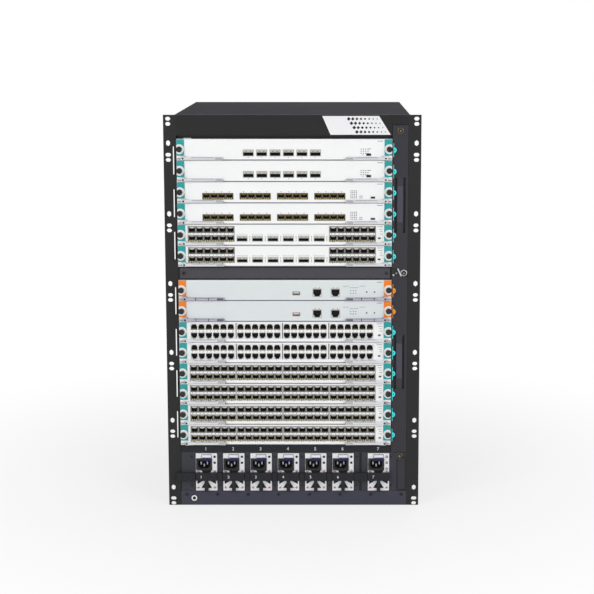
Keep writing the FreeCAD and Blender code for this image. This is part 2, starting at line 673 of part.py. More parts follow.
def card_pivot(body, slot, side):
    """Lug and pin that hold a hinged lever, or the lever itself where it is fused on."""
    x, y, under = lever_place(slot, side)
    if slot >= HINGED_CARDS:
        plan = new_sketch(body, "XY_Plane", under, (x, y))
        seated = {"knuckle": "knuckle + lever_gap", "knuckle_cut": "knuckle + lever_gap"}
        polygon(plan, [(dx, seated.get(dy, dy)) for dx, dy in lever_outline(side)
                       if "knuckle_cut" not in dx])
        pad(body, plan, "lever_h")
        return
    top = "%s + lever_h" % under
    front_pad(body, [(x + " - lug_w / 2", top, "lug_w", "lug_t")],
              "face_front", "2 * knuckle + lever_gap")
    prism(body, "XY_Plane", under, x, y, "pin_r", "lever_h + lug_t / 2", PIN_SIDES)


# ---------------------------------------------------------------- power modules

def power_module(bay):
    body = new_body("power_module_%d" % (bay + 1))
    x, z = bay_x(bay), "module_z"
    face = "front + module_proud"
    left = "%s - module_w / 2" % x
    front_pad(body, [(left, z, "module_w", "module_h")], "plug_rear", face + " - plug_rear")
    front_pad(body, [(left, z + " + handle_rise", "module_w", "handle_h"),
                     ("%s - stem_w / 2" % x, z, "stem_w", "handle_rise")],
              face, "handle_proud - module_proud")
    front_pad(body, [(left + " + latch_in", z + " + latch_rise", "latch_w", "latch_h")],
              face, "latch_proud")
    front_pocket(body, [(left + " + inlet_in", z + " + inlet_rise", "inlet_w", "inlet_h")],
                 face, "inlet_deep")
    prong_z = "%s + inlet_rise + (inlet_h - prong_h) / 2" % z
    front_pad(body, [("%s + inlet_in + inlet_w / 2 - prong_w / 2 + %d * prong_step"
                      % (left, side), "%s + %s" % (prong_z, lift), "prong_w", "prong_h")
                     for side, lift in ((-1, "prong_h / 3"), (0, "-prong_h / 2"),
                                        (1, "prong_h / 3"))],
              face + " - inlet_deep", "prong_l")
    fan_grille(body, x, z, face)


def fan_grille(body, x, z, face):
    """Four sector openings between the diagonal spokes of the module's fan guard."""
    sketch = new_sketch(body, "XZ_Plane", face, (x, z + " + fan_rise"))
    polygon(sketch, [("fan_hub", "-fan_hub / 2"), ("fan_r", "-sector_half"),
                     ("fan_r", "sector_half"), ("fan_hub", "fan_hub / 2")])
    cut = pocket(body, sketch, "grille_deep")
    ring = body.newObject("PartDesign::PolarPattern", "sectors")
    ring.Originals = [cut]
    ring.Axis = (sketch, ["N_Axis"])
    ring.Angle = 360
    ring.Occurrences = 4
    body.Tip = ring
    return ring


# ---------------------------------------------------------------- fan trays

def fan_tray(tray, label):
    """Front with a recessed grip, side sheet, three fan cases with struts and axles."""
    foot, tall = tray_spans()[tray]
    body = new_body(label)
    top_tray = tray == 1
    outline = new_sketch(body, "XZ_Plane", "front - tray_deep")
    left, middle, right = "fan_x", "fan_x + fan_w / 2", "fan_x + fan_w"
    if top_tray:
        points = [(left, "joint_z + joint_slope + seam"),
                  (middle + " - joint_half", "joint_z + joint_slope + seam"),
                  (middle + " + joint_half", "joint_z - joint_slope + seam"),
                  (right, "joint_z - joint_slope + seam"), (right, "tray_top"),
                  (left, "tray_top")]
    else:
        points = [(left, "tray_low"), (right, "tray_low"), (right, "joint_z - joint_slope"),
                  (middle + " + joint_half", "joint_z - joint_slope"),
                  (middle + " - joint_half", "joint_z + joint_slope"),
                  (left, "joint_z + joint_slope")]
    polygon(outline, points)
    pad(body, outline, "tray_deep")
    grip_z = "high_z + grip_rise" if top_tray else "low_z + low_grip_rise"
    front_pocket(body, [(middle + " - grip_w / 2", grip_z, "grip_w", "grip_h")],
                 "front", "grip_deep")
    front_pad(body, [(middle + " - bar_w / 2", grip_z, "bar_w", "grip_h")],
              "front - bar_t", "bar_t")
    screw_x = right + " - high_screw_in" if top_tray else left + " + low_screw_in"
    screws = [(screw_x, "joint_z")]
    if top_tray:
        screws.append((middle, "tray_top - 2 * screw_r"))
    for x, z in screws:
        prism(body, "XZ_Plane", "front", x, z, "tray_screw_r", "tray_screw_l", STUD_SIDES)
    side = new_sketch(body, "YZ_Plane", "fan_x")
    rectangle(side, "tray_deep - front", foot, "front + tray_back - tray_deep", tall)
    pad(body, side, "tray_t")
    for z in (foot, "%s + (%s) - tray_t" % (foot, tall)):
        front_pad(body, [(left, z, "rotor_case_t + tray_t", "tray_t")],
                  "-tray_back", "tray_back + front - tray_deep")
    fan_cases(body, foot, tall)


def fan_cases(body, foot, tall):
    """Square fan cases with a round opening, a strut and an axle, one above another."""
    first = "%s + (%s) / 6" % (foot, tall)
    case = new_sketch(body, "YZ_Plane", "fan_x")
    rectangle(case, "-rotor_case / 2", first + " - rotor_case / 2", "rotor_case", "rotor_case")
    made = [pad(body, case, "rotor_case_t")]
    opening = new_sketch(body, "YZ_Plane", "fan_x + rotor_case_t")
    regular(opening, "0", first, "(rotor_r + rotor_gap)", ROTOR_SIDES)
    made.append(pocket(body, opening, "rotor_case_t"))
    strut = new_sketch(body, "YZ_Plane", "fan_x")
    rectangle(strut, "-strut_w / 2", "%s - rotor_case / 2" % first, "strut_w", "rotor_case")
    made.append(pad(body, strut, "strut_t"))
    axle = new_sketch(body, "YZ_Plane", "fan_x")
    regular(axle, "0", first, "axle_r", AXLE_SIDES)
    made.append(pad(body, axle, "strut_t + axle_l"))
    grid(body, made, case, ("V_Axis", FANS_PER_TRAY, "(%s) / 3" % tall))


def impeller(tray, fan, label):
    """Hub with flat pitched blades, bored to run on the axle of its fan case."""
    foot, tall = tray_spans()[tray]
    z = "%s + (%s) * %d / 6" % (foot, tall, 2 * fan + 1)
    along = FreeCAD.Rotation(V(0, 1, 0), 90)
    hub = doc.addObject("Part::Prism", "hub")
    hub.Polygon = STUD_SIDES
    bind(hub, Circumradius="rotor_hub", Height="rotor_l")
    bore = doc.addObject("Part::Prism", "bore")
    bore.Polygon = AXLE_SIDES
    bind(bore, Circumradius="axle_r + pin_gap", Height="rotor_l")
    for one in (hub, bore):
        one.Placement = FreeCAD.Placement(V(0, 0, 0), along)
        bind(one, Placement__Base__x="fan_x + strut_t", Placement__Base__z=z)
    blades = []
    pitch = FreeCAD.Rotation(V(0, 0, 1), size("blade_pitch"))
    corner = pitch.multVec(V(-size("blade_w") / 2, -size("blade_t") / 2, size("blade_root")))
    for n in range(BLADES):
        blade = doc.addObject("Part::Box", "blade")
        bind(blade, Length="blade_w", Width="blade_t", Height="rotor_r - blade_root")
        turn = FreeCAD.Rotation(V(1, 0, 0), 360.0 * n / BLADES)
        start = turn.multVec(corner)
        blade.Placement = FreeCAD.Placement(V(0, 0, 0), turn.multiply(pitch))
        bind(blade, Placement__Base__x="fan_x + strut_t + rotor_l / 2 + (%.6f)" % start.x,
             Placement__Base__y="%.6f" % start.y,
             Placement__Base__z="%s + (%.6f)" % (z, start.z))
        blades.append(blade)
    wheel = doc.addObject("Part::MultiFuse", "wheel")
    wheel.Shapes = [hub] + blades
    turned = doc.addObject("Part::Cut", label)
    turned.Label = label
    turned.Base = wheel
    turned.Tool = bore
    turned.Refine = True


def merge_seams_once():
    """Only a body's last feature merges its flush faces, which keeps the build short."""
    for body in doc.findObjects("PartDesign::Body"):
        for feature in body.Group:
            if "Refine" in feature.PropertiesList:
                feature.Refine = feature == body.Tip


def export(parts):
    """Check every object and sub-part, then write one STEP file for each node."""
    merge_seams_once()
    doc.recompute()
    for one in doc.Objects:
        if "Invalid" in one.State or "Error" in one.State:
            raise RuntimeError("%s (%s) is %s" % (one.Label, one.Name, one.State))
    os.makedirs("parts", exist_ok=True)
    for one in parts:
        shape = one.Shape
        if shape.isNull() or not shape.isValid():
            raise RuntimeError("bad shape: " + one.Label)
        shape.exportStep("parts/%s.step" % one.Label)


base_plate()
top_cover()
rear_panel()
left_side_panel()
right_side_panel()
rack_ear("left_rack_ear", -1)
rack_ear("right_rack_ear", 1)
front_plates()
fan_bay_wall()
power_bay_frame()
corner_cover()
backplane()
panel_screws()
for number, card_kind in enumerate(CARD_KINDS):
    switch_card(number, card_kind)
    if number < HINGED_CARDS:
        ejector_lever(number, "", "card_%02d_lever_left" % (number + 1))
        ejector_lever(number, "-", "card_%02d_lever_right" % (number + 1))
for number in range(POWER_MODULES):
    power_module(number)
for number, place in enumerate(("lower", "upper")):
    fan_tray(number, "fan_tray_" + place)
    for rotor in range(FANS_PER_TRAY):
        impeller(number, rotor, "impeller_%s_%d" % (place, rotor + 1))
export([one for one in doc.Objects if one.isDerivedFrom("PartDesign::Body")
        or one.Label.startswith("impeller") or one.Label == "panel_screws"])
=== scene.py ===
"""Looks of the modular chassis switch: finishes for every CAD node and the small parts on it.

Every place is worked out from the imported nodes' boxes and the named sizes below.  Pieces are
modelled in millimetres as (across, forward, up), where forward is -Y, and are baked in metres.
Each is made of closed rings carried along a path, computed with numpy as whole arrays.
"""
import logging
import math
from collections.abc import Callable, Iterable, Sequence
from dataclasses import dataclass
from enum import Enum

import bpy
import numpy as np
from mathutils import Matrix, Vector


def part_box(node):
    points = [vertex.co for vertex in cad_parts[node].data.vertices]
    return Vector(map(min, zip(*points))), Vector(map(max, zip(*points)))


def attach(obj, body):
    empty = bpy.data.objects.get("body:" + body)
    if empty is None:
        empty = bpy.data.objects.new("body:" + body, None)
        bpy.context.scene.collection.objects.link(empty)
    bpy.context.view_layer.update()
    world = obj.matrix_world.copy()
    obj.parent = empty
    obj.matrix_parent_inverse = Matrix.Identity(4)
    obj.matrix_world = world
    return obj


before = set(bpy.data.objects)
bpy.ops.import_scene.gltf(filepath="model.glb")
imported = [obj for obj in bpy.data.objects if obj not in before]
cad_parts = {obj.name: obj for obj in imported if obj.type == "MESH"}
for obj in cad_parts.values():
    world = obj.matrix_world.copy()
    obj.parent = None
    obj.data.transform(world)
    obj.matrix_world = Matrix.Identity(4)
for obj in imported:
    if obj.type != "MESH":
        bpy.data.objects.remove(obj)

LOG = logging.getLogger("chassis_switch")
MM = 0.001  # metres in a millimetre
TURN = 2 * math.pi  # radians in a full turn
MODULES = 7
EM_SHARE = 1.4  # size of the font over the height of its digits
INK_DEPTH = 0.06  # half the thickness of a printed number
PRINT = (-0.05, 0.06)  # forward range of other print, about the surface under it

Pair = tuple[float, float]
Colour = tuple[float, float, float]


# ---------------------------------------------------------------- finishes

class Effect(Enum):
    """Small-scale surface effect of a finish: powder-coat grain or drawn lines."""

    GRAIN = "grain"
    BRUSHED = "brushed"


@dataclass(frozen=True)
class Finish:
    """Look of one material: colour in linear light, gloss and fine relief."""

    name: str
    colour: Colour
    roughness: float = 0.5
    metallic: float = 0.0
    effect: Effect = Effect.GRAIN
    relief: float = 0.1
    spread: float = 0.08
    dust: float = 0.05
    # emission that makes a mark shine as though lit; set only on the printed inks, where it is
    # painted light
    glow: float = 0.0
    sheen: float = 0.5


def srgb(red: int, green: int, blue: int) -> Colour:
    """Linear colour of an 8-bit display colour.

    Args:
        red, green, blue: display values from 0 to 255.

    Returns:
        Three linear values from 0 to 1.
    """
    return tuple((v / 255 / 12.92) if v <= 10 else ((v / 255 + 0.055) / 1.055) ** 2.4
                 for v in (red, green, blue))


WHITE = Finish("white_paint", srgb(246, 247, 247), 0.42, relief=0.05, spread=0.02, dust=0.02)
PALE = Finish("pale_grey_paint", srgb(222, 228, 229), 0.42, relief=0.05, spread=0.03, dust=0.02)
TEAL = Finish("teal_plastic", srgb(32, 160, 160), 0.38, spread=0.1)
ORANGE = Finish("orange_plastic", srgb(246, 130, 24), 0.38, spread=0.1)
# the inks' glow is painted light: printed marks that shine a little though they are no lamps
CYAN_INK = Finish("cyan_ink", srgb(64, 236, 236), 0.5, glow=0.12)
ORANGE_INK = Finish("orange_ink", srgb(252, 156, 40), 0.5, glow=0.1)
EAR = Finish("ear_paint", srgb(43, 43, 44), 0.5, relief=0.05, sheen=0.2)
CROWN = Finish("crown_paint", srgb(40, 40, 41), 0.45, relief=0.05, sheen=0.2)
ROOF = Finish("roof_paint", srgb(54, 53, 60), 0.9, relief=0.35, dust=0.0, sheen=0.12)
TRAY = Finish("tray_paint", srgb(57, 56, 62), 0.55, relief=0.2, sheen=0.2)
DIVIDER = Finish("divider_paint", srgb(75, 74, 80), 0.55, relief=0.2, sheen=0.2)
GRIP = Finish("grip_grey", srgb(74, 73, 85), 0.5, relief=0.1, sheen=0.25)
BAY = Finish("bay_paint", srgb(58, 58, 66), 0.55, relief=0.2, sheen=0.25)
FASCIA = Finish("fascia_paint", srgb(66, 67, 79), 0.55, relief=0.2, sheen=0.2)
BAND = Finish("band_paint", srgb(39, 40, 44), 0.5, relief=0.1, sheen=0.2)
ZINC = Finish("zinc_plate", srgb(176, 178, 182), 0.36, 1.0, Effect.BRUSHED, 0.1, 0.14)
ALLOY = Finish("lever_alloy", srgb(226, 227, 231), 0.34, 0.65, Effect.BRUSHED, 0.08, 0.06)
LAVENDER = Finish("lever_grey", srgb(186, 184, 200), 0.36, 0.4, Effect.BRUSHED, 0.08, 0.06)
CAGE = Finish("cage_metal", srgb(168, 166, 162), 0.36, 1.0, Effect.BRUSHED, 0.05, 0.12)
LIP = Finish("cage_lip", srgb(206, 204, 196), 0.4, 0.7, Effect.BRUSHED, 0.05, 0.1)
RIM = Finish("cage_rim", srgb(124, 120, 110), 0.4, 0.9, Effect.BRUSHED, 0.05, 0.14)
BRASS = Finish("cage_brass", srgb(116, 100, 66), 0.4, 0.85, Effect.BRUSHED, 0.05, 0.16)
GOLD = Finish("contact_gold", srgb(206, 172, 104), 0.34, 1.0)
PALE_GOLD = Finish("spring_gold", srgb(214, 204, 150), 0.4, 0.8)
BLACK = Finish("black_plastic", srgb(20, 20, 21), 0.42)
KNOB = Finish("knob_black", srgb(26, 26, 28), 0.34, spread=0.2)
# near-black painted shade, set in hollows, bores, gaps and seams where the real parts lie in shade
CAVITY = Finish("cavity_shade", srgb(9, 9, 10), 0.75)
BOARD = Finish("solder_mask", srgb(18, 78, 52), 0.4)
BEZEL = Finish("bezel_silver", srgb(234, 234, 238), 0.34, 0.25, Effect.BRUSHED, 0.05, 0.04)
LATCH = Finish("latch_violet", srgb(38, 30, 82), 0.5, sheen=0.3)
COPPER_TINT = Finish("screw_rose", srgb(214, 186, 182), 0.3, 0.9)
SCREW = Finish("screw_steel", srgb(60, 60, 64), 0.35, 0.9)
INK = Finish("dark_ink", srgb(84, 86, 92), 0.6)
# painted shade: thin lines of shade under the lever links, along the card feet and round the latch
# pull
SHADE = Finish("painted_shade", srgb(112, 108, 126), 0.6)
WHITE_INK = Finish("white_ink", srgb(238, 238, 240), 0.5)
LENS = Finish("lamp_lens", srgb(66, 70, 72), 0.3)
# dark grey painted shade for the back of the fan trays' finger recesses and the ends of the grip
# bar
RECESS = Finish("recess_shade", srgb(46, 45, 51), 0.6)


@dataclass(frozen=True)
class EffectSizes:
    """Scales of the shared effects in cycles per metre, and their shares and limits."""

    grain: float = 1400.0
    beads: float = 900.0
    bead_share: float = 0.6
    paint_blotch: float = 14.0
    lines: float = 2600.0
    stretch: float = 0.05
    metal_blotch: float = 40.0
    dust: float = 30.0
    dust_colour: Colour = (0.55, 0.54, 0.52)
    gloss_swing: float = 0.08
    smoothest: float = 0.05
    relief_depth: float = 0.0002


@dataclass
class Materials:
    """Makes each finish once, from three shared node groups."""

    size: EffectSizes = EffectSizes()

    def __post_init__(self) -> None:
        """Build the shared groups and start with no material."""
        self.made: dict[str, bpy.types.Material] = {}
        self.grain = self._grain_group()
        self.brush = self._brush_group()
        self.dust = self._dust_group()

    @staticmethod
    def _group(name: str, inputs: Sequence[tuple[str, float | None]],
               outputs: Sequence[str]) -> tuple[bpy.types.NodeTree, bpy.types.Node,
                                                bpy.types.Node]:
        """Empty node group with named sockets.

        Args:
            name: the group's name.
            inputs: socket names and default values; a value of None makes a vector socket.
            outputs: names of the output sockets.

        Returns:
            The group, its input node and its output node.
        """
        group = bpy.data.node_groups.new(name, "ShaderNodeTree")
        for word, value in inputs:
            kind = "NodeSocketVector" if value is None else "NodeSocketFloat"
            socket = group.interface.new_socket(word, in_out="INPUT", socket_type=kind)
            if value is not None:
                socket.default_value = value
        for word in outputs:
            group.interface.new_socket(word, in_out="OUTPUT", socket_type="NodeSocketFloat")
        return group, group.nodes.new("NodeGroupInput"), group.nodes.new("NodeGroupOutput")

    @staticmethod
    def _noise(group: bpy.types.NodeTree, source: bpy.types.NodeSocket, scale: float,
               detail: float) -> bpy.types.NodeSocket:
        """Noise of a scale in a node group.

        Args:
            group: the node group.
            source: socket with the place.
            scale: cycles per metre.
            detail: octaves.

        Returns:
            Socket with the noise from 0 to 1.
        """
        noise = group.nodes.new("ShaderNodeTexNoise")
        noise.inputs["Scale"].default_value = scale
        noise.inputs["Detail"].default_value = detail
        group.links.new(source, noise.inputs["Vector"])
        return noise.outputs["Fac"]

    def _grain_group(self) -> bpy.types.NodeTree:
        """Powder-coat grain: fine beads for height and broad blotches for tone.

        Returns:
            The node group.
        """
        group, enter, leave = self._group("powder_grain", [("Place", None)],
                                          ["Height", "Blotch"])
        place = enter.outputs["Place"]
        fine = self._noise(group, place, self.size.grain, 2)
        beads = group.nodes.new("ShaderNodeTexVoronoi")
        beads.inputs["Scale"].default_value = self.size.beads
        group.links.new(place, beads.inputs["Vector"])
        total = group.nodes.new("ShaderNodeMath")
        total.operation = "MULTIPLY_ADD"
        total.inputs[1].default_value = self.size.bead_share
        group.links.new(beads.outputs["Distance"], total.inputs[0])
        group.links.new(fine, total.inputs[2])
        group.links.new(total.outputs[0], leave.inputs["Height"])
        group.links.new(self._noise(group, place, self.size.paint_blotch, 4),
                        leave.inputs["Blotch"])
        return group

    def _brush_group(self) -> bpy.types.NodeTree:
        """Drawn-metal lines: noise stretched along X, with soft blotches.

        Returns:
            The node group.
        """
        group, enter, leave = self._group("brushed_lines", [("Place", None)],
                                          ["Height", "Blotch"])
        stretch = group.nodes.new("ShaderNodeMapping")
        stretch.inputs["Scale"].default_value = (self.size.stretch, 1.0, 1.0)
        group.links.new(enter.outputs["Place"], stretch.inputs["Vector"])
        lines = self._noise(group, stretch.outputs["Vector"], self.size.lines, 2)
        group.links.new(lines, leave.inputs["Height"])
        group.links.new(self._noise(group, enter.outputs["Place"], self.size.metal_blotch, 3),
                        leave.inputs["Blotch"])
        return group

    def _dust_group(self) -> bpy.types.NodeTree:
        """Dust mask: how far a face looks up, broken up by noise.

        Returns:
            The node group.
        """
        group, enter, leave = self._group("settled_dust", [("Place", None), ("Amount", 0.1)],
                                          ["Mask"])
        facing = group.nodes.new("ShaderNodeNewGeometry")
        split = group.nodes.new("ShaderNodeSeparateXYZ")
        group.links.new(facing.outputs["Normal"], split.inputs[0])
        up = group.nodes.new("ShaderNodeMath")
        up.operation = "MAXIMUM"
        up.inputs[1].default_value = 0.0
        group.links.new(split.outputs["Z"], up.inputs[0])
        patchy = group.nodes.new("ShaderNodeMath")
        patchy.operation = "MULTIPLY"
        group.links.new(up.outputs[0], patchy.inputs[0])
        group.links.new(self._noise(group, enter.outputs["Place"], self.size.dust, 5),
                        patchy.inputs[1])
        share = group.nodes.new("ShaderNodeMath")
        share.operation = "MULTIPLY"
        group.links.new(patchy.outputs[0], share.inputs[0])
        group.links.new(enter.outputs["Amount"], share.inputs[1])
        group.links.new(share.outputs[0], leave.inputs["Mask"])
        return group

    def get(self, finish: Finish) -> bpy.types.Material:
        """Material of a finish.

        Args:
            finish: the Finish to make.

        Returns:
            The Blender material, made on first use.
        """
        if finish.name not in self.made:
            self.made[finish.name] = self._make(finish)
        return self.made[finish.name]

    def _make(self, finish: Finish) -> bpy.types.Material:
        """New material of a finish, with its plain values on the shader's own sockets.

        Args:
            finish: the Finish.

        Returns:
            The Blender material.
        """
        material, tree, shader, place = self._blank(finish.name)
        # a finish's glow is painted light: it shines though it is no lamp
        if finish.glow:
            shader.inputs["Emission Color"].default_value = (*finish.colour, 1)
            shader.inputs["Emission Strength"].default_value = finish.glow
        shader.inputs["Metallic"].default_value = finish.metallic
        shader.inputs["Specular IOR Level"].default_value = finish.sheen
        for word, socket in self._surface(tree, place, finish).items():
            tree.links.new(socket, shader.inputs[word])
        return material

    @staticmethod
    def _blank(name: str) -> tuple[bpy.types.Material, bpy.types.NodeTree, bpy.types.Node,
                                   bpy.types.NodeSocket]:
        """New material with what every finish starts from.

        Args:
            name: the material's name.

        Returns:
            The material, its node tree, its shader and a socket with Object coordinates.
        """
        material = bpy.data.materials.new(name)
        material.use_nodes = True
        tree = material.node_tree
        place = tree.nodes.new("ShaderNodeTexCoord").outputs["Object"]
        return material, tree, tree.nodes["Principled BSDF"], place

    def _surface(self, tree: bpy.types.NodeTree, place: bpy.types.NodeSocket,
                 finish: Finish) -> dict[str, bpy.types.NodeSocket]:
        """Colour, roughness and normal of a finish.

        Args:
            tree: the material's node tree.
            place: socket with Object coordinates.
            finish: the Finish.

        Returns:
            Output sockets by the name of the Principled input they feed.
        """
        fine = tree.nodes.new("ShaderNodeGroup")
        fine.node_tree = self.brush if finish.effect is Effect.BRUSHED else self.grain
        tree.links.new(place, fine.inputs["Place"])
        dust = tree.nodes.new("ShaderNodeGroup")
        dust.node_tree = self.dust
        dust.inputs["Amount"].default_value = finish.dust
        tree.links.new(place, dust.inputs["Place"])
        drift = self._blend(tree, fine.outputs["Blotch"],
                            [v * (1 - finish.spread) for v in finish.colour],
                            [min(1.0, v * (1 + finish.spread)) for v in finish.colour])
        colour = self._blend(tree, dust.outputs["Mask"], drift, self.size.dust_colour)
        rough = tree.nodes.new("ShaderNodeMapRange")
        low, high = about(finish.roughness, self.size.gloss_swing)
        rough.inputs["To Min"].default_value = max(self.size.smoothest, low)
        rough.inputs["To Max"].default_value = min(1.0, high)
        tree.links.new(fine.outputs["Blotch"], rough.inputs["Value"])
        bump = tree.nodes.new("ShaderNodeBump")
        bump.inputs["Strength"].default_value = finish.relief
        bump.inputs["Distance"].default_value = self.size.relief_depth
        tree.links.new(fine.outputs["Height"], bump.inputs["Height"])
        return {"Base Color": colour, "Roughness": rough.outputs["Result"],
                "Normal": bump.outputs["Normal"]}

    @staticmethod
    def _blend(tree: bpy.types.NodeTree, factor: bpy.types.NodeSocket,
               low: bpy.types.NodeSocket | Sequence[float],
               high: bpy.types.NodeSocket | Sequence[float]) -> bpy.types.NodeSocket:
        """Mix two colours by a factor.

        Args:
            tree: the material's node tree.
            factor: socket from 0 to 1.
            low, high: colours at 0 and 1, each a socket or three numbers.

        Returns:
            Socket with the mixed colour.
        """
        mix = tree.nodes.new("ShaderNodeMix")
        mix.data_type = "RGBA"
        tree.links.new(factor, mix.inputs["Factor"])
        for word, colour in (("A", low), ("B", high)):
            if isinstance(colour, bpy.types.NodeSocket):
                tree.links.new(colour, mix.inputs[word])
            else:
                mix.inputs[word].default_value = (*colour, 1)
        return mix.outputs["Result"]

    def dress(self, node: str, finish: Finish) -> None:
        """Give a CAD node a finish.

        Args:
            node: CAD node's name.
            finish: its Finish.
        """
        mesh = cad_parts[node].data
        mesh.materials.clear()
        mesh.materials.append(self.get(finish))

    def dress_zones(self, node: str, rear: Finish, *zones: tuple[float, Finish]) -> None:
        """Give a CAD node several finishes, one ahead of another.

        Args:
            node: CAD node's name.
            rear: finish of everything behind the first plane.
            zones: (forward, finish) pairs from the rear to the front; each finish holds
                ahead of its plane, which is given in millimetres forward of the middle.
        """
        material, tree, shader, place = self._blank(node + "_zones")
        split = tree.nodes.new("ShaderNodeSeparateXYZ")
        tree.links.new(place, split.inputs[0])
        colour = self._surface(tree, place, rear)["Base Color"]
        metal = rear.metallic
        for forward, finish in zones:
            ahead = tree.nodes.new("ShaderNodeMath")
            ahead.operation = "LESS_THAN"
            ahead.inputs[1].default_value = -forward * MM
            tree.links.new(split.outputs["Y"], ahead.inputs[0])
            look = self._surface(tree, place, finish)
            colour = self._blend(tree, ahead.outputs[0], colour, look["Base Color"])
            share = tree.nodes.new("ShaderNodeMix")
            tree.links.new(ahead.outputs[0], share.inputs["Factor"])
            if isinstance(metal, bpy.types.NodeSocket):
                tree.links.new(metal, share.inputs["A"])
            else:
                share.inputs["A"].default_value = metal
            share.inputs["B"].default_value = finish.metallic
            metal = share.outputs["Result"]
        tree.links.new(colour, shader.inputs["Base Color"])
        tree.links.new(metal, shader.inputs["Metallic"])
        for word in ("Roughness", "Normal"):
            tree.links.new(look[word], shader.inputs[word])
        shader.inputs["Specular IOR Level"].default_value = zones[-1][1].sheen
        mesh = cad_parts[node].data
        mesh.materials.clear()
        mesh.materials.append(material)


PAINT = Materials()


# ---------------------------------------------------------------- mesh building

class Piece:
    """Collects closed solids in (across, forward, up) millimetres and bakes one object."""

    def __init__(self, name: str, body: str, bevel: float = 0.0) -> None:
        """Start an empty piece.

        Args:
            name: the object's name.
            body: CAD body that it rides on.
            bevel: width of the rounded edges in millimetres, or 0 for none.
        """
        self.name, self.body, self.bevel = name, body, bevel
        self.points: list[np.ndarray] = []
        self.faces: list[list[int]] = []
        self.looks: list[int] = []
        self.finishes: list[Finish] = []

    def loft(self, rings: np.ndarray, finish: Finish) -> None:
        """Skin closed rings carried along a path, and close both ends.

        Point (i, j) is ring i's j-th point, and each quad joins (i, j), (i, j + 1),
        (i + 1, j + 1) and (i + 1, j), where j wraps round.

        Args:
            rings: array of stations x points x 3; each ring runs anticlockwise for someone
                who looks back from the path's end, so that the faces point outward.
            finish: its Finish.
        """
        stations, sides, _ = rings.shape
        first = sum(len(one) for one in self.points)
        index = first + np.arange(stations * sides).reshape(stations, sides)
        beside = np.roll(index, -1, axis=1)
        quads = np.stack([index[:-1], beside[:-1], beside[1:], index[1:]], -1)
        faces = quads.reshape(-1, 4).tolist() + [index[0, ::-1].tolist(), index[-1].tolist()]
        if finish not in self.finishes:
            self.finishes.append(finish)
        self.points.append(rings.reshape(-1, 3))
        self.faces += faces
        self.looks += [self.finishes.index(finish)] * len(faces)

    def slab(self, outline: np.ndarray | Sequence[Pair], f: Pair, finish: Finish) -> None:
        """An outline seen from the front, carried straight forward.

        Args:
            outline: (across, up) points in either order.
            f: (low, high) forward.
            finish: its Finish.
        """
        flat = anticlockwise(outline)
        rings = np.empty((2, len(flat), 3))
        rings[..., 0], rings[..., 2] = flat[:, 0], flat[:, 1]
        rings[..., 1] = np.array(f)[:, None]
        self.loft(rings, finish)

    def plan(self, outline: np.ndarray | Sequence[Pair], z: Pair, finish: Finish) -> None:
        """An outline seen from above, carried straight up.

        Args:
            outline: (across, forward) points in either order.
            z: (low, high) up.
            finish: its Finish.
        """
        flat = anticlockwise(outline)[::-1]
        rings = np.empty((2, len(flat), 3))
        rings[..., :2] = flat
        rings[..., 2] = np.array(z)[:, None]
        self.loft(rings, finish)

    def box(self, x: Pair, f: Pair, z: Pair, finish: Finish) -> None:
        """A rectangle x by z carried straight forward.

        Args:
            x, f, z: (low, high) pairs across, forward and up.
            finish: its Finish.
        """
        self.slab([(x[0], z[0]), (x[1], z[0]), (x[1], z[1]), (x[0], z[1])], f, finish)

    def frame(self, x: Pair, z: Pair, f: Pair, width: float, finish: Finish) -> None:
        """A flat rectangular ring of four bars.

        Args:
            x, z: (low, high) pairs of the outer edges.
            f: (low, high) forward.
            width: the wall.
            finish: its Finish.
        """
        (x0, x1), (z0, z1) = x, z
        self.box((x0, x1), f, (z0, z0 + width), finish)
        self.box((x0, x1), f, (z1 - width, z1), finish)
        self.box((x0, x0 + width), f, (z0 + width, z1 - width), finish)
        self.box((x1 - width, x1), f, (z0 + width, z1 - width), finish)

    def lathe(self, x: float, z: float, profile: Sequence[Pair], finish: Finish,
              sides: int = 24, teeth: float = 0.0) -> None:
        """A profile turned about a forward axis.

        A ring's point lies at radius r and angle 2 pi n / sides; with teeth, every other
        point is drawn in by that share of its radius, which makes a knurl.

        Args:
            x, z: the axis.
            profile: (radius, forward) pairs from the rear to the front.
            finish: its Finish.
            sides: points round a ring.
            teeth: depth of the knurl as a share of the radius.
        """
        spoke = np.arange(sides)
        angle, wave = TURN * spoke / sides, 1 - teeth * (spoke % 2)
        radius, forward = np.array(profile, float).T
        rings = np.empty((len(radius), sides, 3))
        rings[..., 0] = x + radius[:, None] * wave * np.cos(angle)
        rings[..., 1] = forward[:, None]
        rings[..., 2] = z + radius[:, None] * wave * np.sin(angle)
        self.loft(rings, finish)

    def bake(self) -> None:
        """Make the Blender object, riding on its body."""
        points = np.concatenate(self.points) * MM
        points[:, 1] *= -1
        mesh = bpy.data.meshes.new(self.name)
        mesh.from_pydata(points.tolist(), [], self.faces)
        for finish in self.finishes:
            mesh.materials.append(PAINT.get(finish))
        mesh.polygons.foreach_set("material_index", np.array(self.looks, np.int32))
        mesh.update()
        thing = bpy.data.objects.new(self.name, mesh)
        bpy.context.scene.collection.objects.link(thing)
        if self.bevel:
            rounding = thing.modifiers.new("edges", "BEVEL")
            rounding.width = self.bevel * MM
            rounding.segments = 2
            rounding.limit_method = "ANGLE"
        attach(thing, self.body)
        LOG.info("%s: %d faces", self.name, len(self.faces))


def ordered(a: float, b: float) -> Pair:
    """The two numbers as a (low, high) pair."""
    return (a, b) if a < b else (b, a)


def grown(pair: Pair, by: float) -> Pair:
    """The range made longer by the same length at both ends."""
    return pair[0] - by, pair[1] + by


def about(middle: float, half: float) -> Pair:
    """The range from half below a middle to half above it."""
    return middle - half, middle + half


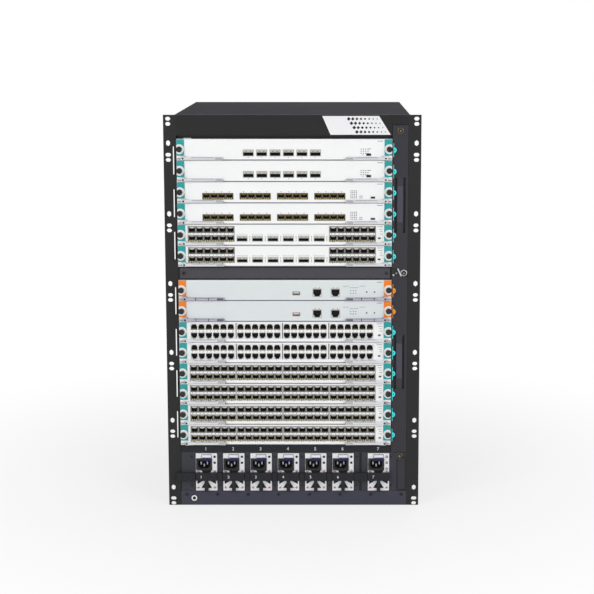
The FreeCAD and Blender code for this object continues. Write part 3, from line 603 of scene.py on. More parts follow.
def anticlockwise(outline: np.ndarray | Sequence[Pair]) -> np.ndarray:
    """The outline as an array, reversed where it runs clockwise.

    Its way round is the sign of the shoelace sum, which adds a b' - a' b over the edges
    from (a, b) to (a', b').

    Args:
        outline: points of a closed outline.

    Returns:
        Array of the points, anticlockwise.
    """
    flat = np.asarray(outline, float)
    after = np.roll(flat, -1, axis=0)
    turn = np.sum(flat[:, 0] * after[:, 1] - after[:, 0] * flat[:, 1])
    return flat if turn > 0 else flat[::-1]


def arc(centre: Pair, radii: Pair, angles: Pair, count: int) -> np.ndarray:
    """Points of an ellipse's arc: centre plus radii times cosine and sine of the angle.

    Args:
        centre: (across, up) of the middle.
        radii: radii across and up; a negative one turns the arc over.
        angles: first and last angle in radians.
        count: number of points.

    Returns:
        Array of count x 2.
    """
    angle = np.linspace(*angles, count)
    return np.stack([centre[0] + radii[0] * np.cos(angle),
                     centre[1] + radii[1] * np.sin(angle)], 1)


def placed(outline: Sequence[Pair], centre: Pair, turn: float) -> np.ndarray:
    """An outline turned about its origin by an angle, and moved to a centre.

    Args:
        outline: (along, aside) points.
        centre: (across, up) of the place.
        turn: angle in radians.

    Returns:
        Array of (across, up) points.
    """
    along, aside = np.array(outline, float).T
    return np.stack([centre[0] + along * math.cos(turn) - aside * math.sin(turn),
                     centre[1] + along * math.sin(turn) + aside * math.cos(turn)], 1)


def span(node: str) -> tuple[Pair, Pair, Pair]:
    """Box of a CAD node.

    Args:
        node: the node's name.

    Returns:
        (low, high) pairs across, forward and up, in millimetres.
    """
    low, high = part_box(node)
    return ((low.x / MM, high.x / MM), (-high.y / MM, -low.y / MM), (low.z / MM, high.z / MM))


def digit(text: str, x: float, z: float, forward: float, height: float, body: str,
          name: str) -> None:
    """A plain printed number.

    Args:
        text: digits.
        x, z: centre, in millimetres.
        forward: the surface that carries it.
        height: height of the digits in millimetres.
        body, name: CAD body it rides on, and the piece's name.
    """
    curve = bpy.data.curves.new(name, "FONT")
    curve.body, curve.size, curve.extrude = text, height * EM_SHARE * MM, INK_DEPTH * MM
    curve.align_x, curve.align_y = "CENTER", "CENTER"
    source = bpy.data.objects.new(name + "_curve", curve)
    bpy.context.scene.collection.objects.link(source)
    bpy.context.view_layer.update()
    mesh = bpy.data.meshes.new_from_object(source)
    bpy.data.objects.remove(source)
    flat = np.zeros(len(mesh.vertices) * 3)
    mesh.vertices.foreach_get("co", flat)
    flat = flat.reshape(-1, 3)
    upright = np.stack([flat[:, 0] + x * MM, -forward * MM - flat[:, 2], flat[:, 1] + z * MM], 1)
    mesh.vertices.foreach_set("co", upright.ravel())
    mesh.materials.clear()
    mesh.materials.append(PAINT.get(WHITE_INK))
    mesh.update()
    thing = bpy.data.objects.new(name, mesh)
    bpy.context.scene.collection.objects.link(thing)
    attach(thing, body)
    LOG.info("%s: %d faces", name, len(mesh.polygons))


class Front:
    """A flat front at a known forward place."""

    face: float

    def layer(self, low: float, high: float) -> Pair:
        """Forward range given as distances ahead of the face."""
        return self.face + low, self.face + high

    def print_on(self, piece: Piece, x: Pair, z: Pair, finish: Finish) -> None:
        """Add a printed rectangle, whose sides are (low, high) pairs across and up."""
        piece.box(x, self.layer(*PRINT), z, finish)


# ---------------------------------------------------------------- plug-in cards

class CardKind(Enum):
    """What a card's face carries."""

    UPLINK = "uplink"
    FIBRE_ROW = "fibre_row"
    MIXED = "mixed"
    SUPERVISOR = "supervisor"
    COPPER = "copper"
    FIBRE = "fibre"


class Side(Enum):
    """An end of a card; the value is the way across that leads inward."""

    LEFT = 1
    RIGHT = -1


@dataclass(frozen=True)
class CardSizes:
    """Sizes of a card in millimetres, the same as the CAD's where it has them."""

    seam: float = 0.8
    proud: float = 9.0
    painted: float = 10.5
    knobs: float = 1.35
    block_w: float = 14.3
    block_rise: float = 9.2
    screw_in: float = 5.2
    screw_rise: float = 21.0
    screw_r: float = 5.6
    screw_l: float = 7.65
    land_r: float = 9.2
    land_t: float = 1.3
    row_step: float = 16.1
    port_deep: float = 9.9
    jack_deep: float = 8.0
    contacts: int = 8
    lever_rise: float = 1.3
    lever_h: float = 5.4
    lever_l: float = 74.3
    lever_lift: float = 0.3
    pivot_in: float = 12.0
    grip_l: float = 15.0
    arm_from: float = 14.0
    arm_t: float = 4.1
    ridges: int = 6
    ridge_step: float = 2.1
    board_rise: float = 4.65
    board_t: float = 1.6
    board_rear: float = -168.0
    fins: int = 24
    fin_step: float = 12.6
    fin_t: float = 2.0
    fin_rise: float = 22.9
    fin_top: float = 31.5
    sink_half_w: float = 147.0
    sink_half_l: float = 74.5
    chips: int = 8
    chip_step: float = 40.0
    chip_w: float = 16.0


@dataclass(frozen=True)
class PortRow:
    """A run of equal ports, in millimetres.

    x is the first one's offset from the card's left edge, w and h are its size, step is
    the pitch, count their number and rise the height of their foot above the card's.
    """

    x: float
    w: float
    h: float
    step: float
    count: int
    rise: float = 8.4


@dataclass(frozen=True)
class FacePlan:
    """Where the ports of each kind of card are."""

    quad: PortRow = PortRow(124.6, 19.3, 11.5, 25.1, 6)
    mixed_quad: PortRow = PortRow(111.6, 19.3, 10.0, 29.1, 6)
    quartets: tuple[PortRow, ...] = tuple(PortRow(48.6 + 70.1 * n, 12.6, 9.6, 14.4, 4)
                                          for n in range(4))
    fibre: tuple[PortRow, ...] = tuple(PortRow(20.6 + 89.0 * n, 12.6, 11.4, 14.5, 6)
                                       for n in range(4))
    copper: tuple[PortRow, ...] = tuple(PortRow(22.4 + 88.2 * n, 12.0, 11.1, 13.96, 6)
                                        for n in range(4))
    mixed: tuple[PortRow, ...] = tuple(PortRow(x, 12.6, 11.4, 14.5, 6) for x in (20.6, 286.9))
    network: PortRow = PortRow(254.9, 15.6, 14.6, 34.7, 2)
    serial: PortRow = PortRow(216.6, 13.2, 6.0, 0.0, 1, 11.4)
    service: PortRow = PortRow(354.9, 9.24, 4.8, 0.0, 1)


@dataclass
class Card(Front):
    """Face details of one plug-in card."""

    node: str
    size: CardSizes = CardSizes()
    plan: FacePlan = FacePlan()

    def __post_init__(self) -> None:
        """Read the card's number and kind from its node's name, and its place from its box."""
        _, number, kind = self.node.split("_", 2)
        self.number, self.kind = int(number), CardKind(kind)
        (x0, x1), (_, front), (z0, z1) = span(self.node)
        self.left, self.right = round(x0, 1), round(x1, 1)
        self.face = front - self.size.proud
        self.foot, self.top = z0 - self.size.seam / 2, z1
        self.grey = self.kind is CardKind.SUPERVISOR
        self.hinged = self.lever_node(Side.LEFT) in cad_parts

    def build(self) -> None:
        """Dress the CAD node and add every piece of its face."""
        s = self.size
        PAINT.dress_zones(self.node, ZINC, (self.face - s.painted, PALE if self.grey else WHITE),
                          (self.face + s.knobs, KNOB))
        self.ends()
        self.screws()
        for side in Side:
            self.lever(side)
        ports = Piece(self.node + "_ports", self.node)
        marks = Piece(self.node + "_marks", self.node)
        fill: dict[CardKind, Callable[[Piece, Piece], None]] = {
            CardKind.UPLINK: self.uplink, CardKind.FIBRE_ROW: self.fibre_row,
            CardKind.MIXED: self.mixed, CardKind.SUPERVISOR: self.supervisor,
            CardKind.COPPER: self.copper, CardKind.FIBRE: self.fibre}
        fill[self.kind](ports, marks)
        ports.bake()
        marks.bake()
        self.electronics()

    def edge(self, side: Side) -> float:
        """Place across of an end of the card."""
        return self.left if side is Side.LEFT else self.right

    def lever_node(self, side: Side) -> str:
        """Name of the CAD node of the lever at an end."""
        return "card_%02d_lever_%s" % (self.number, side.name.lower())

    # ---- ends, screws and levers

    def ends(self) -> None:
        """Coloured end blocks, with a white round land about each captive screw.

        A land's outline is a circle about the screw, clipped to the block's height and to
        the card's own edge.
        """
        s = self.size
        blocks = Piece(self.node + "_end_blocks", self.node, bevel=0.5)
        lands = Piece(self.node + "_end_lands", self.node, bevel=0.2)
        low, high = self.foot + s.block_rise - 0.4, self.top - 0.3
        for side in Side:
            edge, way = self.edge(side), side.value
            blocks.box(ordered(edge + way * 0.1, edge + way * (s.block_w + 0.2)),
                       self.layer(0.1, s.land_t - 0.15), (low, high),
                       ORANGE if self.grey else TEAL)
            circle = arc((edge + way * s.screw_in, self.foot + s.screw_rise),
                         (s.land_r, s.land_r), (0, TURN), 41)[:-1]
            across = np.clip(circle[:, 0], *ordered(edge, edge + way * 2 * s.block_w))
            lands.slab(np.stack([across, np.clip(circle[:, 1], low, high)], 1),
                       self.layer(0.2, s.land_t), WHITE)
        blocks.bake()
        lands.bake()

    def screws(self) -> None:
        """Captive screws on the round lands."""
        s = self.size
        piece = Piece(self.node + "_captive_screws", self.node)
        for side in Side:
            captive_screw(piece, self.edge(side) + side.value * s.screw_in,
                          self.foot + s.screw_rise, self.face + s.land_t, s.screw_r, s.screw_l)
        piece.bake()

    def lever(self, side: Side) -> None:
        """Trim of one ejector lever, with its link, the link's painted shadow and its lug on the
        card.

        Args:
            side: the end that carries the lever.
        """
        s, edge, way, name = self.size, self.edge(side), side.value, side.name.lower()
        finish = LAVENDER if self.grey else ALLOY
        pivot, low = edge + way * s.pivot_in, self.foot + s.lever_rise
        if self.hinged:
            PAINT.dress(self.lever_node(side), finish)
        trim = Piece("%s_lever_trim_%s" % (self.node, name),
                     self.lever_node(side) if self.hinged else self.node, bevel=0.15)
        self.lever_trim(trim, pivot, way, finish)
        trim.bake()
        link = Piece("%s_lever_link_%s" % (self.node, name), self.node, bevel=0.2)
        outer = ordered(edge + way * 0.8, pivot - way * 4.4)
        link.box(outer, self.layer(0.05, 1.6), (low + 1.6, low + 2.7),
                 LAVENDER if self.grey else COPPER_TINT)
        # strip of painted shadow under the link
        link.box(outer, self.layer(0.05, 0.9), (low + 0.7, low + 1.5), SHADE)
        if self.hinged:
            lug = low + s.lever_h
            link.box(about(pivot, 4.1), self.layer(0.05, 6.95), (lug + 0.05, lug + 2.3), finish)
        link.bake()

    def lever_trim(self, trim: Piece, pivot: float, way: int, finish: Finish) -> None:
        """Shell, finger ridges, pivot cap and bands of a lever.

        Args:
            trim: piece that takes them.
            pivot: place across of the pin.
            way: 1 where the lever reaches to the right, -1 where it reaches to the left.
            finish: the lever's Finish.
        """
        s = self.size
        rear, reach = self.face + s.lever_lift, s.lever_l
        low, high = self.foot + s.lever_rise, self.foot + s.lever_rise + s.lever_h

        def along(a: float, b: float) -> Pair:
            """Range across between two distances from the pin towards the tip."""
            return ordered(pivot + way * a, pivot + way * b)

        if not self.hinged:
            shell = np.array([(-3.2, 0.0), (reach + 0.1, 0.0), (reach + 0.1, 5.7),
                              (reach - s.grip_l, s.arm_t), (s.arm_from, s.arm_t), (1.4, 6.65),
                              (-1.8, 6.65), (-3.2, 4.6)])
            trim.plan(shell * (way, 1) + (pivot, rear), (low - 0.1, high + 0.1), finish)
        for n in range(s.ridges):
            start = reach - 13 + s.ridge_step * n
            trim.box(along(start, start + 1), (rear + 4.3, rear + 5.4 + 0.16 * n),
                     (low + 0.5, high - 0.5), KNOB if self.grey else ZINC)
        trim.lathe(pivot, (low + high) / 2,
                   [(1.9, rear + 6.3), (1.9, rear + 6.9), (1.4, rear + 7.0)], SCREW, 16)
        if self.grey:
            for start in (20, 44):
                trim.box(along(start, start + 1.4), (rear + 3.9, rear + 4.35), (low, high), KNOB)
        trim.box(along(16, reach - 17), (rear + 4.05, rear + 4.3), (high - 1.3, high - 0.8),
                 KNOB if self.grey else INK)

    # ---- port furniture

    def at(self, x: float) -> float:
        """Place across of an offset from the card's left edge."""
        return self.left + x

    def port_box(self, row: PortRow, n: int, lift: float = 0.0) -> tuple[Pair, Pair]:
        """Place of one port.

        Args:
            row: the run that it belongs to.
            n: its number in the run, from 0.
            lift: how far above the run it stands.

        Returns:
            (low, high) pairs across and up.
        """
        x, z = self.at(row.x + n * row.step), self.foot + row.rise + lift
        return (x, x + row.w), (z, z + row.h)

    def throat(self, piece: Piece, x: Pair, z: Pair, rim: float, metal: Finish) -> None:
        """Raised rim of a cage, its sleeve, and near-black painted shade at the end behind.

        Args:
            piece: piece that takes them.
            x, z: (low, high) pairs of the port.
            rim: how far the rim reaches past the port.
            metal: the rim's Finish.
        """
        deep = self.size.port_deep
        piece.frame(grown(x, rim), grown(z, rim), self.layer(-0.3, 0.5), 0.7, metal)
        piece.frame(grown(x, -0.02), grown(z, -0.02), self.layer(-deep, -0.2), 0.5, RIM)
        # near-black painted shade at the back of the port
        piece.box(grown(x, -0.5), self.layer(-deep, 1.5 - deep), grown(z, -0.5), CAVITY)

    def cage(self, piece: Piece, x: Pair, z: Pair, up: bool = True, brass: bool = False) -> None:
        """Pluggable-module cage with spring fingers and a brow.

        The brow is the lower half of an ellipse that hangs from the port's top.

        Args:
            piece: piece that takes it.
            x, z: (low, high) pairs of the port.
            up: whether it belongs to an upper row, with a pale brow.
            brass: whether its metal is brass.
        """
        metal = BRASS if brass else CAGE
        wide, tall, middle = x[1] - x[0], z[1] - z[0], sum(x) / 2
        self.throat(piece, x, z, 0.5, metal)
        for share in (-0.3, 0.0, 0.3):
            piece.box(about(middle + share * wide, wide * 0.08), self.layer(-3.0, 0.55),
                      (z[0] + 0.15, z[0] + tall * 0.2), PALE_GOLD if brass or not up else RIM)
        brow = arc((middle, z[1] - 0.15), (wide * 0.42, -tall * 0.26), (0, math.pi), 9)
        piece.slab(brow, self.layer(-2.5, 0.45), LIP if up and not brass else metal)

    def wide_cage(self, piece: Piece, x: Pair, z: Pair) -> None:
        """Large module cage: pale hood with two slots over a dark mouth.

        Args:
            piece: piece that takes it.
            x, z: (low, high) pairs of the port.
        """
        wide, tall = x[1] - x[0], z[1] - z[0]
        self.throat(piece, x, z, 0.6, LIP)
        hood = z[1] - tall * 0.42
        piece.box(grown(x, -0.5), self.layer(-3.0, 0.3), (hood, z[1] - 0.3), LIP)
        for share in (0.2, 0.62):
            start = x[0] + wide * share
            piece.box((start, start + 3.4), self.layer(0.2, 0.42),
                      (hood + tall * 0.12, hood + tall * 0.2), SCREW)

    def jack(self, piece: Piece, x: Pair, z: Pair, up: bool = True) -> None:
        """Network socket: shield with cut corners, painted shade at the back of its mouth, pale
        floor, gold contacts.

        Args:
            piece: piece that takes it.
            x, z: (low, high) pairs of the port.
            up: whether the contacts are at its foot; they are at its head otherwise.
        """
        s = self.size
        rear = -s.jack_deep
        piece.frame(x, z, self.layer(rear - 1.0, 0.35), 0.4, CAGE)
        (x0, x1), (z0, z1) = grown(x, -0.4), grown(z, -0.4)
        # near-black painted shade at the back of the mouth
        piece.box((x0, x1), self.layer(rear - 1.5, rear), (z0, z1), CAVITY)
        wide, tall = x1 - x0, z1 - z0
        head, foot, way = (z1, z0, 1) if up else (z0, z1, -1)
        for edge, inward in ((x0, 1), (x1, -1)):
            piece.slab([(edge, head), (edge, head - way * tall * 0.34),
                        (edge + inward * wide * 0.2, head)], self.layer(rear, 0.2), BEZEL)
        piece.box((x0 + 0.8, x1 - 0.8), self.layer(rear, -0.6), ordered(foot, foot + way * 0.9),
                  CAGE)
        step = (wide - 3) / s.contacts
        for n in range(s.contacts):
            start = x0 + 1.5 + n * step
            piece.box((start, start + step / 2), self.layer(rear, -2.2),
                      ordered(foot + way * 0.9, foot + way * 1.5), GOLD)
        if self.kind is CardKind.COPPER:
            piece.slab([(x0 + wide * 0.3, foot), (x0 + wide * 0.62, foot),
                        (x0 + wide * 0.36, foot + way * tall / 2)],
                       self.layer(rear - 0.2, rear + 0.4), SCREW)

    def lamp(self, piece: Piece, x: float, z: float, w: float = 1.0, h: float = 1.0) -> None:
        """Small lamp lens that stands a little proud of the face.

        Args:
            piece: piece that takes it.
            x, z: its centre.
            w, h: its width and height.
        """
        piece.box(about(x, w / 2), self.layer(-0.05, 0.25), about(z, h / 2), LENS)

    def tick(self, piece: Piece, x: float, z: float, w: float, h: float) -> None:
        """Printed tick beside a port.

        Args:
            piece: piece that takes it.
            x, z: its centre.
            w, h: its width and height.
        """
        self.print_on(piece, about(x, w / 2), about(z, h / 2), INK)

    def lamp_field(self, piece: Piece, x: float, rise: float, columns: int, rows: int,
                   step_x: float = 3.4, step_z: float = 3.3) -> None:
        """A block of lamps in columns and rows.

        Args:
            piece: piece that takes them.
            x: offset of the first column from the card's left edge.
            rise: height of the first row above the card's foot.
            columns, rows: how many.
            step_x, step_z: the pitch across and up.
        """
        for column in range(columns):
            for row in range(rows):
                self.lamp(piece, self.at(x) + column * step_x, self.foot + rise + row * step_z,
                          1.7, 1.5)

    def small_port(self, piece: Piece, x: float, rise: float, w: float, h: float) -> None:
        """Small service socket with a thin shield, and painted shade inside it.

        Args:
            piece: piece that takes it.
            x: offset of its left side from the card's left edge.
            rise: height of its foot above the card's foot.
            w, h: its width and height.
        """
        across, up = (self.at(x), self.at(x) + w), (self.foot + rise, self.foot + rise + h)
        piece.frame(across, up, self.layer(-0.2, 0.3), 0.45, CAGE)
        # near-black painted shade inside the socket
        piece.box(grown(across, -0.45), self.layer(-0.1, 0.1), grown(up, -0.45), CAVITY)

    def flat_socket(self, ports: Piece, row: PortRow, tongue: Finish) -> None:
        """Flat service socket with a tongue.

        Args:
            ports: piece that takes it.
            row: its place, as a run of one port.
            tongue: the tongue's Finish.
        """
        x, z = self.port_box(row, 0)
        ports.frame(grown(x, -0.02), grown(z, -0.02), self.layer(-9.8, 0.3), 0.5, CAGE)
        # near-black painted shade at the back of the socket
        ports.box(grown(x, -0.5), self.layer(-9.5, -8.0), grown(z, -0.5), CAVITY)
        ports.box(grown(x, -1.2), self.layer(-9.0, -0.9),
                  (z[0] + row.h * 0.45, z[0] + row.h * 0.8), tongue)

    def face_lines(self, marks: Piece) -> None:
        """Fold line along the top, a printed line above the right lever, and painted shade along
        the foot between and beside the levers.

        Args:
            marks: piece that takes them.
        """
        s = self.size
        marks.box((self.at(16), self.right - 17), self.layer(-0.05, 0.3),
                  (self.top - 1.5, self.top - 0.7), WHITE)
        corner = self.right - s.block_w
        self.print_on(marks, (corner - 13.5, corner - 3.0), (self.top - 4.4, self.top - 3.5), INK)
        reach = s.pivot_in + s.lever_l
        # painted shade along the foot between the lever tips, and beside each tip
        marks.box((self.at(reach), self.right - reach), self.layer(-0.05, 0.12),
                  (self.foot + 0.45, self.foot + 1.7), SHADE)
        for edge in (self.at(reach + 0.3), self.right - reach - 0.9):
            marks.box((edge, edge + 0.6), self.layer(-0.05, 0.12),
                      (self.foot + 0.45, self.foot + 5.0), SHADE)

    def stack(self, ports: Piece, marks: Piece, row: PortRow,
              make: Callable[[Piece, Pair, Pair, bool], None]) -> None:
        """Two rows of ports, mouth to mouth, with a strip of lamps between them.

        Args:
            ports, marks: pieces that take the sockets and the print.
            row: the lower row.
            make: method that adds one port.
        """
        step, fibre = self.size.row_step, make == self.cage
        first, last = self.at(row.x), self.at(row.x + (row.count - 1) * row.step + row.w)
        low, high = self.foot + row.rise, self.foot + row.rise + step + row.h
        front = self.layer(-0.1, 0.35)
        for n in range(row.count):
            for lift, up in ((0.0, False), (step, True)):
                make(ports, *self.port_box(row, n, lift), up)
            x, z = self.port_box(row, n)
            middle, strip = sum(x) / 2, (z[1], z[0] + step)
            ports.box(grown(x, -0.02), self.layer(-self.size.port_deep, 0.1),
                      grown(strip, -0.02), WHITE)
            for shift in (-3.4, 3.4):
                self.lamp(ports, middle + shift, sum(strip) / 2, 1.3, 1.3)
            self.tick(marks, middle - 1.2, low - 1.25, 2.6, 0.8)
            self.tick(marks, middle + 2.0, low - 1.0, 1.6, 0.5)
            if fibre and n + 1 < row.count:
                for lift in (0.0, step):
                    ports.box((x[1] - 0.1, x[0] + row.step + 0.1), front,
                              (z[0] + lift - 0.3, z[1] + lift + 0.3), RIM)
        ports.frame(grown((first, last), 1.5), (low - 0.9, high + 1.2), front, 0.8,
                    RIM if fibre else BEZEL)
        self.labels(marks)

    def labels(self, marks: Piece) -> None:
        """Rows of short printed dashes at the right end, in place of small print.

        Args:
            marks: piece that takes them.
        """
        for line, (start, length) in enumerate(((0, 7.5), (2.4, 4.5), (2.4, 5.5))):
            x = self.right - self.size.block_w - 10.5 + start
            z = self.top - 9.0 - 4.6 * line
            self.print_on(marks, (x, x + length), (z, z + 0.7), INK)

    # ---- kinds of face

    def uplink(self, ports: Piece, marks: Piece) -> None:
        """Six large cages in a row, a field of lamps and a service socket.

        Args:
            ports: piece that takes the sockets.
            marks: piece that takes the print.
        """
        self.face_lines(marks)
        for n in range(self.plan.quad.count):
            x, z = self.port_box(self.plan.quad, n)
            self.wide_cage(ports, x, z)
            self.tick(marks, sum(x) / 2, z[0] - 2.2, 1.8, 0.8)
        self.lamp_field(marks, 345.6, 13.5, 4, 3, 4.2, 3.9)
        self.tick(marks, self.at(361.5), self.foot + 21.6, 5.0, 0.8)
        self.flat_socket(ports, self.plan.service, BLACK)
        self.tick(marks, self.at(349), self.foot + 10.5, 2.4, 0.8)

    def fibre_row(self, ports: Piece, marks: Piece) -> None:
        """One row of sixteen brass cages in four framed groups.

        Args:
            ports: piece that takes the sockets.
            marks: piece that takes the print.
        """
        self.face_lines(marks)
        for row in self.plan.quartets:
            for n in range(row.count):
                x, z = self.port_box(row, n)
                self.cage(ports, x, z, brass=True)
                self.tick(marks, sum(x) / 2, z[1] + 3.4, 2.2, 1.0)
                if n + 1 < row.count:
                    ports.box((x[1] + 0.3, x[0] + row.step - 0.3), self.layer(-0.1, 0.4), z, RIM)
            x0, z0 = self.at(row.x), self.foot + row.rise
            group = (x0, x0 + row.step * (row.count - 1) + row.w)
            ports.frame(grown(group, 1.3), grown((z0, z0 + row.h), 1.3), self.layer(-0.1, 0.35),
                        0.8, BRASS)
        self.lamp_field(marks, 326.5, 10.0, 4, 5)
        self.lamp_field(marks, 343.5, 10.0, 2, 2)
        self.small_port(marks, 363.5, 8.6, 8.4, 4.0)

    def mixed(self, ports: Piece, marks: Piece) -> None:
        """Two stacks of cages with a row of large cages between them.

        Args:
            ports: piece that takes the sockets.
            marks: piece that takes the print.
        """
        self.face_lines(marks)
        for row in self.plan.mixed:
            self.stack(ports, marks, row, self.cage)
        row = self.plan.mixed_quad
        for n in range(row.count):
            x, z = self.port_box(row, n)
            self.wide_cage(ports, x, z)
            bracket = self.layer(-0.05, 0.1)
            marks.box(grown(x, 1.0), bracket, (z[1] + 3.0, z[1] + 3.25), INK)
            for end in x:
                marks.box((end - 0.1, end + 0.15), bracket, (z[1] + 1.6, z[1] + 3.1), INK)
            for lamp in range(4):
                self.lamp(marks, x[1] + 4.9, z[0] + 1.2 + 2.6 * lamp, 1.2, 1.2)
        self.small_port(marks, 377.3, 12.5, 5.4, 3.2)

    def supervisor(self, ports: Piece, marks: Piece) -> None:
        """Two network sockets with lamps, a flat serial socket and two buttons.

        Args:
            ports: piece that takes the sockets.
            marks: piece that takes the print.
        """
        for n in range(self.plan.network.count):
            x, z = self.port_box(self.plan.network, n)
            self.jack(ports, x, z, up=False)
            ports.frame(grown(x, 1.0), grown(z, 1.0), self.layer(-0.1, 0.5), 1.0, LIP)
            for share in (0.3, 0.7):
                ports.box(about(x[0] + (x[1] - x[0]) * share, 0.5), self.layer(0.0, 0.6),
                          (z[1] + 0.1, z[1] + 1.0), SCREW)
            for shift in (-4, 4):
                self.lamp(marks, sum(x) / 2 + shift, z[1] + 2.6, 1.6, 0.8)
        self.flat_socket(ports, self.plan.serial, WHITE_INK)
        x, z = self.port_box(self.plan.serial, 0)
        ports.frame(grown(x, 1.0), grown(z, 1.0), self.layer(-0.1, 0.4), 0.7, COPPER_TINT)
        self.lamp_field(marks, 326.5, 15.0, 3, 2, 4.8, 5.0)
        for start, length, rise in ((324.5, 16.5, 25.0), (312, 11, 28.0), (343, 11, 28.0)):
            self.print_on(marks, (self.at(start), self.at(start + length)),
                          (self.foot + rise, self.foot + rise + 0.6), INK)
        for offset in (356.7, 371.6):
            marks.lathe(self.at(offset), self.foot + 17,
                        [(1.5, self.face - 0.05), (1.5, self.face + 0.2),
                         (1.0, self.face + 0.22)], INK, 16)
            # ring of each button, with near-black painted shade in its middle
            marks.lathe(self.at(offset), self.foot + 17,
                        [(0.8, self.face), (0.8, self.face + 0.3)], CAVITY, 12)
        self.face_lines(marks)

    def copper(self, ports: Piece, marks: Piece) -> None:
        """Four stacks of network sockets with a grooved strip between them.

        Args:
            ports: piece that takes the sockets.
            marks: piece that takes the print.
        """
        self.face_lines(marks)
        for row in self.plan.copper:
            self.stack(ports, marks, row, self.jack)
        strip = (self.foot + 7.8, self.top - 2.2)
        for row in self.plan.copper[1:]:
            x = self.at(row.x) - 2.2
            marks.box(about(x, 0.9), self.layer(-0.05, 0.3), strip, RIM)
            marks.box(about(x, 0.3), self.layer(0.2, 0.4), strip, SCREW)
        self.small_port(marks, 378.4, 12.5, 5.0, 3.2)

    def fibre(self, ports: Piece, marks: Piece) -> None:
        """Four stacks of module cages.

        Args:
            ports: piece that takes the sockets.
            marks: piece that takes the print.
        """
        self.face_lines(marks)
        for row in self.plan.fibre:
            self.stack(ports, marks, row, self.cage)
        self.small_port(marks, 380.3, 12.5, 4.8, 3.2)

    def electronics(self) -> None:
        """Circuit board, cooling fins and chips on the carrier behind the face."""
        s = self.size
        piece = Piece(self.node + "_board", self.node)
        middle, deck = (self.left + self.right) / 2, self.foot + s.board_rise
        top = deck + s.board_t
        piece.box((self.left + 6, self.right - 8), (s.board_rear, self.face - 14.5), (deck, top),
                  BOARD)
        for n in range(s.fins):
            x = middle - s.sink_half_w + n * s.fin_step
            piece.box((x, x + s.fin_t), about(0.0, s.sink_half_l),
                      (self.foot + s.fin_rise, self.foot + s.fin_top), ZINC)
        for n in range(s.chips):
            x = middle - 150 + n * s.chip_step
            piece.box((x, x + s.chip_w), (110, 128), (top, deck + 3.4), BLACK)
            piece.box((x + 4, x + 12), (148, 156), (top, deck + 9.0), ZINC)
        piece.bake()


def captive_screw(piece: Piece, x: float, z: float, base: float, radius: float, length: float,
                  collar: Finish | None = None) -> None:
    """Knurled screw head on a smooth skirt, with a cross recess in its end.

    Args:
        piece: piece that takes it.
        x, z: its axis.
        base: forward place of the surface under it.
        radius, length: size of the head.
        collar: Finish of a washer under it, or None for no washer.
    """
    if collar:
        piece.lathe(x, z, [(radius + 1.5, base - 0.15), (radius + 1.5, base + 0.5),
                           (radius + 0.6, base + 0.8)], collar, 32)
    top = base + length
    piece.lathe(x, z, [(radius * 0.8, base - 0.2), (radius * 0.8, base + length * 0.2)], ZINC)
    piece.lathe(x, z, [(radius * 0.96, base + length * 0.2), (radius, base + length * 0.3),
                       (radius, base + length * 0.85), (radius * 0.82, top)], KNOB, 40, 0.07)
    cross(piece, x, z, (top - 0.1, top + 0.03), (radius * 0.45, radius * 0.1), ZINC)


def domed_screw(piece: Piece, x: float, z: float, base: float, radius: float) -> None:
    """Low domed head, with a cross of painted shade for its recess.

    Args:
        piece: piece that takes it.
        x, z: its axis.
        base: forward place of the surface under it.
        radius: radius of the head.
    """
    piece.lathe(x, z, [(radius, base - 0.1), (radius, base + 0.3), (radius * 0.85, base + 0.7),
                       (radius * 0.5, base + 0.95)], SCREW, 20)
    # near-black cross of painted shade standing for the recess
    cross(piece, x, z, (base + 0.9, base + 1.0), (radius * 0.6, radius * 0.14), CAVITY)


def cross(piece: Piece, x: float, z: float, f: Pair, half: Pair, finish: Finish) -> None:
    """A plain cross of two bars.

    Args:
        piece: piece that takes it.
        x, z: its centre.
        f: (low, high) forward.
        half: half the length and half the width of a bar.
        finish: its Finish.
    """
    for wide, tall in (half, half[::-1]):
        piece.box(about(x, wide), f, about(z, tall), finish)


# ---------------------------------------------------------------- power modules

@dataclass(frozen=True)
class ModuleSizes:
    """Sizes of a power module's front in millimetres."""

    face: float = 232.0
    painted: float = 12.2
    inlet_in: float = 4.0
    inlet_w: float = 24.0
    inlet_h: float = 17.0
    inlet_rise: float = 43.8
    inlet_deep: float = 11.5
    inlet_rim: float = 3.4
    inlet_wall: float = 0.6
    inlet_cut: float = 4.4
    prong_half: Pair = (1.1, 2.6)
    handle_rise: float = 21.3
    handle_h: float = 15.1
    handle_proud: float = 7.0
    stem_w: float = 7.0
    number_h: float = 5.6
    latch_rise: float = 61.1
    latch_in: float = 12.2
    latch_w: float = 18.0
    lamp_in: float = 4.6
    lamp_rises: tuple[float, ...] = (67.4, 55.5)
    extra_rise: float = 43.4
    fan_rise: float = 22.9
    fan_r: float = 18.0
    hub: float = 6.0
    sector_half: float = 10.4
    guard_screw: Pair = (16.0, 16.6)


